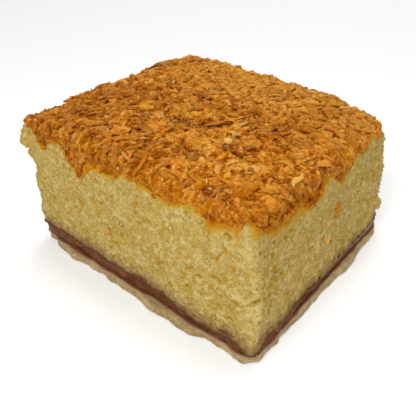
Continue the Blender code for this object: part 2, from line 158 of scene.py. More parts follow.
HALF_WIDTH = SLICE_WIDTH / 2
HALF_DEPTH = SLICE_DEPTH / 2
RIGHT_END_DISTANCE = 0.059
RIGHT_CRUMB_INSET = (0.0008, 0.0033)
PLACES = {
    "left corner": Vector((-HALF_WIDTH, -HALF_DEPTH)),
    "near corner": Vector((HALF_WIDTH, -HALF_DEPTH)),
    "right corner": Vector((HALF_WIDTH, HALF_DEPTH)),
    "right end": Vector((HALF_WIDTH, -HALF_DEPTH + RIGHT_END_DISTANCE)),
    "right crumb": Vector((HALF_WIDTH, HALF_DEPTH)) - Vector(RIGHT_CRUMB_INSET),
}

# ---------- what only the look has ----------

SPONGE_CELLS = (238, 210)  # the sponge's wall, about 0.34 mm a cell
SPONGE_COURSES = 94
LAYER_CELLS = (200, 176)
TOPPING_CELLS = (146, 130)
LOOK_SEED = 7


def ease(t):
    t = min(max(t, 0.0), 1.0)
    return t * t * (3 - 2 * t)


def relief(name, x, y, z=0.0):
    total = 0.0
    for i, (depth, size) in enumerate(RELIEF[name]):
        salt = 10 * list(RELIEF).index(name) + i
        total += depth * noise.noise(Vector((x / size + salt, y / size - salt, z / size)))
    return total


def bell(distance, reach):
    return math.exp(-((distance / reach) ** 2))


def bells(distances, reach):
    return np.exp(-((distances / reach) ** 2))


def near(place, x, y, reach):
    """1 at a place of the plan, by name or as (x, y), fading to 0 away from it."""
    place_x, place_y = PLACES.get(place, place)
    return bell(math.hypot(x - place_x, y - place_y), reach)


def fade(place, points, reach):
    """The same for an array of points."""
    x, y = PLACES.get(place, place)
    return bells(np.hypot(points[..., 0] - x, points[..., 1] - y), reach)


def waves(rows, x, y):
    return sum(rise * near((to_x, to_y), x, y, reach) for to_x, to_y, rise, reach in rows)


def past_corner(u, v):
    """How far past the middle of its corner's rounding (u, v) lies along x and y."""
    radius = CORNER_RADIUS[u > 0, v > 0]
    past_x = abs(u) * HALF_WIDTH - (HALF_WIDTH - radius)
    return past_x, abs(v) * HALF_DEPTH - (HALF_DEPTH - radius)


def plan_point(u, v):
    x, y = u * HALF_WIDTH, v * HALF_DEPTH
    past_x, past_y = past_corner(u, v)
    if past_x > 0 and past_y > 0:
        pull = max(past_x, past_y) / math.hypot(past_x, past_y)
        x -= math.copysign(past_x * (1 - pull), x)
        y -= math.copysign(past_y * (1 - pull), y)
    return Vector((x, y))


def outward(u, v):
    past_x, past_y = past_corner(u, v)
    if past_x > 0 and past_y > 0:
        away = Vector((math.copysign(past_x, u), math.copysign(past_y, v)))
    elif abs(u) >= abs(v):
        away = Vector((math.copysign(1, u), 0))
    else:
        away = Vector((0, math.copysign(1, v)))
    return away.normalized()


def ways_out(border):
    return np.array([tuple(outward(u, v)) for u, v in border])


def outline(cells):
    """(u, v) of the border points of a grid of this many cells, anticlockwise."""
    nx, ny = cells
    border = [(i, 0) for i in range(nx)] + [(nx, j) for j in range(ny)]
    border += [(i, ny) for i in range(nx, 0, -1)] + [(0, j) for j in range(ny, 0, -1)]
    return [(2 * i / nx - 1, 2 * j / ny - 1) for i, j in border]


def inset_of(x, y):
    return min(HALF_WIDTH - abs(x), HALF_DEPTH - abs(y))


def edge_share(x, y):
    return ease(1 - inset_of(x, y) / FLAT_INSET)


def along(side, x, y):
    """How far (x, y) lies along a side, and how far in from it."""
    return {
        "front": (HALF_WIDTH - x, HALF_DEPTH + y),
        "right": (HALF_DEPTH + y, HALF_WIDTH - x),
        "back": (HALF_WIDTH - x, HALF_DEPTH - y),
        "left": (HALF_DEPTH - y, HALF_WIDTH + x),
    }[side]


def bulges(rows, x, y, inward=1.0):
    """What rows of (side, distance, amount, reach) add up to at a place."""
    total = 0.0
    for side, centre, amount, reach in rows:
        distance, inside = along(side, x, y)
        total += amount * bell(distance - centre, reach) * bell(inside, reach * inward)
    return total


def tilt(x, y):
    return -FALL_X * x / HALF_WIDTH - FALL_Y * y / HALF_DEPTH


def base_top(x, y):
    return BASE_TOP + relief("base_top", x, y) * edge_share(x, y)


def jam_top(x, y):
    dip = JAM_DIP * near("near corner", x, y, JAM_DIP_REACH)
    return JAM_TOP + (relief("jam_top", x, y) - dip) * edge_share(x, y)


def hidden_hangs():
    draw = random.Random(SOLID_SEED)
    hangs = {"back": [], "left": []}
    for side, length in (("back", SLICE_WIDTH), ("left", SLICE_DEPTH)):
        for i in range(HIDDEN_HANGS):
            distance = length * (i + draw.uniform(*HIDDEN_JITTER)) / HIDDEN_HANGS
            hangs[side].append((distance, draw.choice(HIDDEN_DROPS), draw.uniform(*HIDDEN_REACH)))
    return hangs


LOOK_HANGS = {
    "front": mm(
        (0, -0.5, 3), (1.4, -3.6, 0.8), (12.2, 1.6, 1.4), (13.8, -0.9, 0.9),
        (16.8, -1.2, 1.8), (26, -0.9, 2), (39.5, -1, 2.2), (62, 1.3, 1.2), (77.5, -1.6, 2.8),
    ),
    "right": mm(
        (0.8, -0.4, 3.6), (10.5, -0.5, 3), (30.8, -1, 1), (36.2, 1.2, 1.4),
        (43, -1.2, 1.6), (56.5, -1.4, 2.2),
    ),
}
ALL_HANGS = {
    side: hangs + LOOK_HANGS.get(side, []) for side, hangs in (HANGS | hidden_hangs()).items()
}


def coconut_edge(x, y):
    total = weights = 0.0
    for side, hangs in ALL_HANGS.items():
        distance, inside = along(side, x, y)
        drop = SIDE_HANG[side]
        for centre, depth, reach in hangs:
            drop += depth * bell(distance - centre, reach)
        weight = 1 / (max(inside, 0.0) + SIDE_BLEND) ** 2
        total += drop * weight
        weights += weight
    return SPONGE_TOP + tilt(x, y) - total / weights


def edge_heights(points):
    return np.array([coconut_edge(x, y) for x, y, _ in points])


def sponge_top(x, y):
    share = edge_share(x, y)
    edge = coconut_edge(x, y) + relief("sponge_top", x, y)
    return edge * share + SPONGE_TOP * (1 - share)


def topping_top(x, y):
    u, v = x / HALF_WIDTH, y / HALF_DEPTH
    z = CROWN + tilt(x, y) - TWIST * u * v + SWELL * (1 - u * u) * (1 + v) / 2
    z -= (ROUNDING_LEFT if u < 0 else ROUNDING) * u**4 + ROUNDING * v**4
    return z + waves(TOP_WAVES, x, y) + relief("topping_top", x, y)


def base_side(x, y, z):
    return BASE_PROUD + relief("base_side", x, y, z) + bulges(BASE_BULGES, x, y)


def side_lumps(x, y, z):
    return sum(
        lump * near(place, x, y, reach) * bell(z - height, reach)
        for place, height, lump, reach in SIDE_LUMPS
    )


def jam_side(x, y, z):
    return JAM_PROUD + relief("jam_side", x, y, z) + side_lumps(x, y, z)


def sponge_side(x, y, z):
    return relief("sponge_side", x, y, z) + side_lumps(x, y, z)


def topping_side(x, y, z):
    setback = TOPPING_SETBACK * near("right corner", x, y, SETBACK_REACH)
    return TOPPING_PROUD + relief("topping_side", x, y, z) - setback


def ring(height, border, inset=0.0, side=None, offset=0.0):
    """A ring of points at a surface's height, pushed out by a side's form."""
    shrink_x = 1 - inset / HALF_WIDTH
    shrink_y = 1 - inset / HALF_DEPTH
    points = []
    for u, v in border:
        plan = plan_point(u * shrink_x, v * shrink_y)
        z = height(plan.x, plan.y)
        if side:
            plan += outward(u, v) * (side(plan.x, plan.y, z) + offset)
        points.append((plan.x, plan.y, z))
    return np.array(points)


def between(low, high, share):
    return lambda x, y: low(x, y) * (1 - share) + high(x, y) * share


def raised(surface, lift):
    return lambda x, y: surface(x, y) + lift


def lean(points):
    """Moves points, an array of rows, to the slice's uneven corners and bowed edge."""
    x, y, t = points[:, 0], points[:, 1], points[:, 2] / CROWN
    moved = points.copy()
    bow = fade("near corner", points, BOW_WIDTH) * bells(points[:, 2] - BOW_HEIGHT, BOW_REACH)
    moved[:, :2] += bow[:, None] * np.array(BOW)
    for (to_right, to_back), (foot, top) in CORNER_SHIFT.items():
        share = 1 + (x if to_right else -x) / HALF_WIDTH
        share = share * (1 + (y if to_back else -y) / HALF_DEPTH) / 4
        for axis in (0, 1):
            moved[:, axis] += share * (foot[axis] * (1 - t) + top[axis] * t)
    return moved


def frame_shift():
    """From the form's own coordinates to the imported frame, read off the jam's box."""
    border = outline(SOLID_CELLS)
    underside = raised(base_top, GAP)
    rings = [
        ring(surface, border, side=jam_side)
        for surface in (underside, between(underside, jam_top, 0.5), jam_top)
    ]
    low = lean(np.concatenate(rings)).min(axis=0)
    cad_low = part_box("raspberry_jam")[0]
    return np.array([cad_low.x - low[0], cad_low.y - low[1], 0.0])


SHIFT = frame_shift()


def settled(points):
    """Points of the form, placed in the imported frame."""
    return lean(np.asarray(points, float)) + SHIFT


# ---------- mesh helpers ----------


def lumps(points, size, salt):
    """Smooth noise between about -1 and 1 at each point, with lumps of this size."""
    scaled = np.asarray(points) / size + np.array((salt, -salt, 0.37 * salt))
    values = [noise.noise(row) for row in scaled.reshape(-1, 3).tolist()]
    return np.array(values).reshape(scaled.shape[:-1])


def layered(points, sizes, salt):
    """Noise of several (size, depth) added up."""
    return sum(depth * lumps(points, size, salt + i) for i, (size, depth) in enumerate(sizes))


def add_object(name, data):
    obj = bpy.data.objects.new(name, data)
    bpy.context.scene.collection.objects.link(obj)
    return obj


def new_mesh(name, points, faces, tone=None):
    """A smooth mesh object; tone is a row of shares a point, for its material."""
    mesh = bpy.data.meshes.new(name)
    mesh.from_pydata(points.tolist(), [], faces)
    mesh.update()
    if tone is not None:
        colours = np.ones((len(points), 4), np.float32)
        colours[:, :3] = np.clip(tone, 0, 1)
        layer = mesh.color_attributes.new("tone", "FLOAT_COLOR", "POINT")
        layer.data.foreach_set("color", colours.ravel())
    mesh.shade_smooth()
    return add_object(name, mesh)


def read(items, name, width=3, kind=float):
    """A property of a mesh's parts as rows of numbers."""
    values = np.empty(len(items) * width, kind)
    items.foreach_get(name, values)
    return values.reshape(-1, width)


def add_piece(obj, material, replaced=None):
    obj.data.materials.append(material)
    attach(obj, "root")
    if replaced:
        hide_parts(replaced)


def wall_faces(rings, count):
    """Quads between rings of this many points each, numbered from 0."""
    k = np.arange(count)
    after = (k + 1) % count
    faces = []
    for low in range(0, (rings - 1) * count, count):
        high = low + count
        faces.append(np.stack([low + k, low + after, high + after, high + k], axis=1))
    return np.concatenate(faces)


def closed_layer(name, rings, tones):
    """A closed wall through these rings, lowest first, capped flat below and above."""
    count, last = len(rings[0]), (len(rings) - 1) * len(rings[0])
    faces = wall_faces(len(rings), count).tolist()
    faces += [list(range(count))[::-1], list(range(last, last + count))]
    return new_mesh(name, settled(np.concatenate(rings)), faces, np.concatenate(tones))


# ---------- materials ----------


class Nodes:
    """A material, and short names for the shader nodes that it is built from."""

    def __init__(self, name):
        self.material = bpy.data.materials.new(name)
        self.material.use_nodes = True
        self.tree = self.material.node_tree
        self.shader = self.tree.nodes["Principled BSDF"]
        self.coords = self.tree.nodes.new("ShaderNodeTexCoord").outputs["Object"]

    def put(self, socket, value):
        if isinstance(value, bpy.types.NodeSocket):
            self.tree.links.new(value, socket)
        else:
            socket.default_value = value

    def set(self, **values):
        for name, value in values.items():
            self.put(self.shader.inputs[name.replace("_", " ")], value)

    def node(self, kind, output, inputs, **settings):
        """A new node's output socket."""
        node = self.tree.nodes.new("ShaderNode" + kind)
        for name, value in settings.items():
            setattr(node, name, value)
        for name, value in inputs.items():
            self.put(node.inputs[name], value)
        return node.outputs[output]

    def noise(self, size, detail=2.0, roughness=0.5, distortion=0.0):
        inputs = {"Vector": self.coords, "Scale": 1 / size, "Detail": detail}
        inputs |= {"Roughness": roughness, "Distortion": distortion}
        return self.node("TexNoise", "Fac", inputs)

    def cells(self, size, smoothness=0.0):
        inputs = {"Vector": self.coords, "Scale": 1 / size}
        if smoothness:
            inputs["Smoothness"] = smoothness
        feature = "SMOOTH_F1" if smoothness else "F1"
        return self.node("TexVoronoi", "Distance", inputs, feature=feature)

    def tone(self):
        colour = self.node("Attribute", "Color", {}, attribute_name="tone")
        return tuple(self.node("SeparateColor", "Red", {"Color": colour}).node.outputs)

    def math(self, operation, a, b=0.0, clamp=False):
        return self.node("Math", "Value", {0: a, 1: b}, operation=operation, use_clamp=clamp)

    def span(self, value, low, high, to_low=0.0, to_high=1.0):
        inputs = {"Value": value, "From Min": low, "From Max": high}
        inputs |= {"To Min": to_low, "To Max": to_high}
        return self.node("MapRange", "Result", inputs)

    def mix(self, share, a, b):
        a, b = ((*c, 1) if isinstance(c, tuple) else c for c in (a, b))
        return self.node("Mix", 2, {"Factor": share, 6: a, 7: b}, data_type="RGBA")

    def layers(self, colour, *rows):
        """Lays colours over one: (value or noise, low, high, at most how much, colour)."""
        for value, low, high, most, other in rows:
            value = self.noise(*value) if isinstance(value, tuple) else value
            colour = self.mix(self.span(value, low, high, 0.0, most), colour, other)
        return colour

    def bump(self, height, strength, distance):
        inputs = {"Height": height, "Strength": strength, "Distance": distance}
        self.set(Normal=self.node("Bump", "Normal", inputs))

    def soften(self, weight, radius, scale):
        """Light that enters and scatters, as in crumb, fat and sugar."""
        self.set(Subsurface_Weight=weight, Subsurface_Radius=radius, Subsurface_Scale=scale)


def sponge_material():
    n = Nodes("sponge_crumb")
    lit_raised_or_shaded_sunk, syrup, dark_towards_jam = n.tone()
    # Pale flecks: partly pale crumb, partly painted sparkle.
    light = n.span(n.noise(0.0005, 3, 0.65), 0.5, 0.6)
    rough = n.span(n.noise(0.0045, 3, 0.6, 0.6), 0.38, 0.6, 0.25, 0.85)
    colour = n.layers(
        (0.408, 0.275, 0.054),
        ((0.007, 3), 0.35, 0.65, 1, (0.448, 0.314, 0.078)),
        ((0.0034, 3, 0.6), 0.5, 0.68, 0.65, (0.45, 0.275, 0.022)),
        ((0.0013, 4, 0.65, 0.3), 0.5, 0.64, 0.6, (0.35, 0.21, 0.014)),
        (n.math("MULTIPLY", light, rough), 0, 1, 1, (0.62, 0.495, 0.225)),
        ((0.0006, 3, 0.65, 0.4), 0.6, 0.67, 0.65, (0.34, 0.185, 0.012)),
        # Painted highlight on raised crumb, painted shade in the pits and holes.
        (lit_raised_or_shaded_sunk, 0.5, 0, 0.6, (0.63, 0.5, 0.212)),
        (lit_raised_or_shaded_sunk, 0.5, 1, 0.95, (0.4, 0.205, 0.003)),
        (syrup, 0, 0.7, 0.8, (0.52, 0.3, 0.014)),
        (syrup, 0.5, 1, 1, (0.48, 0.19, 0.003)),
        # Darker towards the jam, and a colour like the jam's just above it.
        (dark_towards_jam, 0, 0.75, 0.85, (0.25, 0.158, 0.058)),
        (dark_towards_jam, 0.78, 1, 1, (0.125, 0.045, 0.018)),
    )
    n.set(Base_Color=colour, Roughness=0.85, IOR=1.38, Specular_IOR_Level=0.2)
    n.soften(0.15, (1.0, 0.7, 0.4), 0.0006)
    height = n.math("MULTIPLY", n.cells(0.0007, smoothness=0.5), 0.7)
    n.bump(n.math("ADD", height, n.noise(0.0004, 3, 0.65)), 0.85, 0.00038)
    return n.material


def jam_material():
    n = Nodes("raspberry_jam_set")
    smeared = n.tone()[0]
    colour = n.layers(
        (0.105, 0.029, 0.009),
        ((0.004, 3, 0.6), 0.35, 0.68, 1, (0.182, 0.068, 0.026)),
        ((0.0012, 2, 0.6), 0.45, 0.7, 0.5, (0.084, 0.022, 0.007)),
        (smeared, 0, 1, 1, (0.29, 0.2, 0.11)),
    )
    n.set(Base_Color=colour, Roughness=0.45, IOR=1.42, Specular_IOR_Level=0.08)
    n.soften(0.15, (1.0, 0.25, 0.12), 0.0012)
    n.bump(n.noise(0.0013, 3, 0.6), 0.6, 0.0003)
    return n.material


def pastry_material():
    n = Nodes("pastry_baked")
    stain = n.tone()[0]
    colour = n.layers(
        (0.3, 0.2, 0.072),
        ((0.004, 3, 0.6), 0.38, 0.62, 1, (0.45, 0.34, 0.15)),
        ((0.0012, 3, 0.7), 0.48, 0.66, 0.7, (0.215, 0.13, 0.04)),
        ((0.0009, 2, 0.6, 0.7), 0.56, 0.68, 0.6, (0.56, 0.44, 0.24)),
        (stain, 0, 0.6, 0.7, (0.345, 0.225, 0.125)),
        (stain, 0.55, 0.9, 1, (0.165, 0.059, 0.023)),
    )
    n.set(Base_Color=colour, Roughness=0.7, IOR=1.42, Specular_IOR_Level=0.3)
    n.soften(0.12, (1.0, 0.7, 0.4), 0.001)
    height = n.math("ADD", n.noise(0.0009, 4, 0.65), n.math("MULTIPLY", n.cells(0.0011), 0.4))
    n.bump(height, 0.55, 0.00035)
    return n.material


def coconut_material():
    """Gold to brown by toast and painted shade; lighter where pale, syrupy or painted lit;
    painted glints.
    """
    n = Nodes("coconut_shreds")
    toast_and_shading, pale, glaze = n.tone()
    toast_and_shading = n.math("ADD", toast_and_shading, n.span(n.noise(0.0014, 3, 0.6), 0.3, 0.7, -0.16, 0.16), True)
    amber = ((0.0019, 2, 0.5, 0.5), 0.42, 0.6, 1, (0.226, 0.046, 0.0005))
    strand = n.math("ABSOLUTE", n.math("SUBTRACT", n.noise(0.0022, 2, 0.5, 0.8), 0.5))
    colour = n.layers(
        (0.556, 0.23, 0.022),
        (toast_and_shading, 0, 0.45, 1, (0.35, 0.0975, 0.0012)),
        (toast_and_shading, 0.45, 0.8, 1, (0.202, 0.042, 0.0003)),
        (toast_and_shading, 0.8, 1.1, 1, (0.115, 0.024, 0.0006)),
        # The pale channel also carries painted light: lit crests and sides, and the paler back.
        (pale, 0, 1, 1, (0.64, 0.352, 0.084)),
        (glaze, 0, 1, 0.75, n.layers((0.476, 0.173, 0.002), amber)),
        (strand, 0.035, 0, 0.4, (0.556, 0.252, 0.026)),
        # Painted glints: small pale spots at random.
        ((0.001, 3, 0.6), 0.63, 0.69, 0.55, (0.8, 0.53, 0.21)),
    )
    n.set(Base_Color=colour, Roughness=n.span(n.noise(0.0015, 2), 0.3, 0.7, 0.36, 0.55))
    n.set(IOR=1.33, Specular_IOR_Level=0.03, Specular_Tint=(1.0, 0.72, 0.3, 1.0))
    n.soften(0.6, (1.0, 0.5, 0.2), 0.0011)
    n.bump(n.noise(0.0008, 3, 0.6), 0.45, 0.00022)
    return n.material


SPONGE_LOOK = sponge_material()
COCONUT_LOOK = coconut_material()

# ---------- pastry and jam ----------

PASTRY_COURSES = 9
PASTRY_ROUGHNESS = mm((3, 0.3), (1.2, 0.18), (0.6, 0.08))  # (size, depth)
PASTRY_HEM = 0.0004  # how far the lower edge wavers up and down
PASTRY_HEM_SIZE = 0.0025
PASTRY_TUCK = 0.00045
# Finer bulges of its edge, as the solid's: (side, distance along it, out, reach).
PASTRY_BULGES = mm(
    ("front", 76, -1, 2), ("front", 57, 0.8, 2.5), ("front", 49.5, 0.9, 2),
    ("front", 18.8, 0.6, 2.5), ("right", 3, -0.4, 2.5), ("right", 12.5, -0.6, 1.6),
)
PASTRY_WEAR = ("near corner", (-0.0009, 0.0011), 0.0024)  # where it is worn, how far, reach
# How the jam's stain fades over the base's ledge: its share at the jam, how far out it
# reaches, how ragged it is, and the places of the points across the ledge.
STAIN_MOST = 1.2
STAIN_REACH = 0.0014
STAIN_RAGGED = 0.3
STAIN_SIZE = 0.0026
LEDGE_SHARES = (0.25, 0.5, 0.75, 1.0)
JAM_COURSES = 9
JAM_ROUGHNESS = mm((2.2, 0.3), (0.9, 0.15))
JAM_ROUND = 0.0002  # how far the middle of its edge stands out
JAM_WEAR = ("left corner", (0.0007, 0.0004), 0.003)
SMEAR_REACH = 0.02  # how far from the right corner crumb is smeared over the jam
SMEAR_MOST = 1.4
SMEAR_LEAST = 0.1
SMEAR_RAGGED = 0.35
SMEAR_SIZE = 0.002


def rough_courses(low, high, border, courses, side, offset, sizes, salt, wear):
    """Rings from one surface up to another, roughened, and worn away at one place."""
    place, way, reach = wear
    rings = []
    for i in range(courses + 1):
        t = i / courses
        points = ring(between(low, high, t), border, side=side, offset=offset(t))
        points[:, :2] += ways_out(border) * layered(points, sizes, salt)[:, None]
        points[:, :2] += fade(place, points, reach)[:, None] * np.array(way)
        rings.append(points)
    return rings


def look_base_side(x, y, z):
    return base_side(x, y, z) + bulges(PASTRY_BULGES, x, y)


def make_pastry():
    border = outline(LAYER_CELLS)
    foot = ring(base_top, border, side=jam_side)

    def tuck(t):
        return -PASTRY_TUCK * (1 - math.sqrt(max(0.0, 1 - abs(2 * t - 1) ** 3)))

    form = (lambda x, y: 0.0, base_top, border, PASTRY_COURSES, look_base_side, tuck)
    rings = rough_courses(*form, PASTRY_ROUGHNESS, 60, PASTRY_WEAR)
    for i, points in enumerate(rings[1:-1], 1):
        waver = lumps(points * (1, 1, 0), PASTRY_HEM_SIZE, 66)
        points[:, 2] += PASTRY_HEM * (1 - i / PASTRY_COURSES) * waver
    edge = rings[-1]
    rings += [edge + (foot - edge) * share for share in LEDGE_SHARES]
    most = STAIN_MOST + STAIN_RAGGED * lumps(foot, STAIN_SIZE, 64)
    stains = [most - np.linalg.norm(points - foot, axis=1) / STAIN_REACH for points in rings]
    rings.append(ring(base_top, border, BAND_INSET))
    tones = [stain[:, None] for stain in (*stains, most)]
    piece = closed_layer("pastry_base_crumb", rings, tones)
    add_piece(piece, pastry_material(), "pastry_base")


def make_jam():
    border = outline(LAYER_CELLS)
    underside, top = raised(base_top, GAP / 3), raised(jam_top, GAP / 2)

    def bulge(t):
        return JAM_ROUND * math.sin(math.pi * t)

    form = (underside, top, border, JAM_COURSES, jam_side, bulge)
    rings = rough_courses(*form, JAM_ROUGHNESS, 70, JAM_WEAR)
    rings = [ring(underside, border, BAND_INSET), *rings, ring(top, border, BAND_INSET)]
    tones = []
    for points in rings:
        smear = SMEAR_MOST * fade("right corner", points, SMEAR_REACH)
        smear += SMEAR_RAGGED * lumps(points, SMEAR_SIZE, 76) * (smear > SMEAR_LEAST)
        tones.append(smear[:, None])
    piece = closed_layer("raspberry_jam_layer", rings, tones)
    add_piece(piece, jam_material(), "raspberry_jam")


# ---------- sponge ----------

CRUMB_RELIEF = mm((2.6, 0.12), (1.3, 0.14), (0.8, 0.18))  # (size, depth)
GRAIN_FULL = 0.00028  # relief this high or low has its full painted highlight or painted shade
DENT_HEIGHTS = (0.0062, 0.041)  # where the pores and bumps are
# (how many, radius, how rare large ones are, how much longer than wide, depth in radii)
PORES = (3000, (0.0003, 0.0009), 4, (1.0, 1.7), (0.25, 0.5))
BUMPS = (2600, (0.00035, 0.0008), 1, (0.8, 1.6), (0.2, 0.5))
PORE_RAGGED = (0.0009, 1.3)  # the size of the crumb that breaks its outline, and how much
PIT_MOST = 0.001
PIT_FULL = 0.0003  # a pit this deep has its full painted shade
BUMP_MOST = 0.0006
BUMP_FULL = 0.00022
CORNER_HIGHLIGHT = 0.5  # painted highlight: how much paler the crumb is painted along the near corner, where light catches it
CORNER_HIGHLIGHT_REACH = 0.0028
# How far the coconut's syrup has run down the crumb, and how far up from the jam the crumb is
# darker: (depth, size of its rags, how ragged, salt, least depth, share at the start).
SYRUP = (0.0042, 0.003, 1.1, 90, 0.0003, 1.15)
DARK_TOWARDS_JAM = (0.0045, 0.0017, 0.8, 95, 0.0002, 1.1)
SYRUP_SPREAD = 0.028
SYRUP_LEAST = 0.18
DARK_TOWARDS_JAM_LESS = 0.8  # how much less where the jam is smeared

# The larger holes that show: (distance from the near corner, below 0 along the front,
# height, half width, half height).
HOLES = mm(
    (-6.2, 35.7, 1.2, 0.8), (-7.2, 32, 1.4, 0.6), (-4.7, 18.2, 1.7, 0.6),
    (-8.9, 22, 0.9, 0.9), (-15.1, 19.8, 1, 0.7), (-10.7, 21.9, 1, 0.5),
    (-9.6, 13.7, 0.8, 0.7), (-8.7, 29.6, 0.6, 0.7), (-15.5, 7.3, 0.8, 0.5),
    (-43.5, 30.5, 0.8, 0.8), (0.4, 20.2, 1.8, 0.7), (12.4, 20.8, 0.8, 0.8),
    (8.6, 31.9, 0.9, 0.7), (7.8, 28.5, 0.9, 0.9), (7.3, 20.5, 0.7, 0.8),
    (6.2, 13.6, 0.7, 0.9), (9.9, 3.9, 0.9, 0.6), (31.6, 19, 1.2, 1.2),
    (-35.5, 29, 0.9, 0.7), (-26.6, 18.1, 1.1, 0.5), (-30.5, 28.7, 0.8, 0.6),
)
HOLE_TURN = 0.15
HOLE_DEPTH = 0.9  # as a share of its half height
# Lips and nicks finer than the solid's: (height, outward, reach).
FINE_LUMPS = {
    "left corner": mm(
        (36.6, 0.6, 1.8), (33.9, 2, 1.3), (32.1, -2, 0.9), (30.2, 0.7, 1.4),
        (25.7, -1.1, 1.3), (22.8, 0.3, 1.3), (19.2, 0.6, 1.4), (6.8, -1, 2.2),
    ),
    "right crumb": mm((17, -0.7, 2.6), (12.7, -1.6, 1.4), (10.6, -0.7, 1.4), (8, -2.1, 1.3)),
}
LUMP_SPREAD = 2.2  # how much farther they reach sideways than up and down
# At the near corner the sponge comes down over the jam, and up between the coconut.
FOOT_TONGUE = 0.0008
FOOT_TONGUE_REACH = 0.0024
TOP_TONGUE = 0.0022
TOP_TONGUE_REACH = 0.0009
TONGUE_PROUD = 0.0004
# Where its crumb hangs over the jam: (side, distance, how far, reach).
FRINGES = mm(("front", 14, 1.7, 12), ("right", 10, 1, 12), ("right", 43, 1.5, 18))
FRINGE_INWARD = 0.5
FRINGE_RAGGED = 0.0003
FRINGE_PROUD = 0.00045
FRINGE_BLEND = 0.0004


def stamp(field, run, height, centre, radii, angle, depth, ragged):
    """Adds a ragged dimple or bump to a wall's field, at (run, height) round the wall."""
    length = run[-1] + (run[-1] - run[-2])
    reach = max(radii) * 1.05
    rows = np.where(np.abs(height - centre[1]).min(axis=1) < reach)[0]
    gap = (run - centre[0] + length / 2) % length - length / 2
    columns = np.where(np.abs(gap) < reach)[0]
    if len(rows) == 0 or len(columns) == 0:
        return
    window = np.ix_(rows, columns)
    a, b = gap[columns], height[window] - centre[1]
    c, s = math.cos(angle), math.sin(angle)
    r2 = ((a * c + b * s) / radii[0]) ** 2 + ((b * c - a * s) / radii[1]) ** 2
    field[window] += depth * np.clip(1 - r2 - ragged[window], 0, 1)


def dents(kind, draw, turn, length):
    """Pores or bumps at random round the wall: the middle, radii, turn and depth of each."""
    amount, radius, rare, longer, depth = kind
    for _ in range(amount):
        size = radius[0] + (radius[1] - radius[0]) * draw.random() ** rare
        centre = (draw.uniform(0, length), draw.uniform(*DENT_HEIGHTS))
        radii = (size * draw.uniform(*longer), size)
        yield centre, radii, turn(), draw.uniform(*depth) * size


def seeped(points, gap, keep, kind):
    """How strongly the crumb is marked at this gap from where the mark starts: syrup from above,
    darkening from the jam below.
    """
    depth, size, ragged, salt, least, most = kind
    reach = depth * (1 + ragged * lumps(points, size, salt)) * keep
    return most - gap / np.maximum(reach, least)


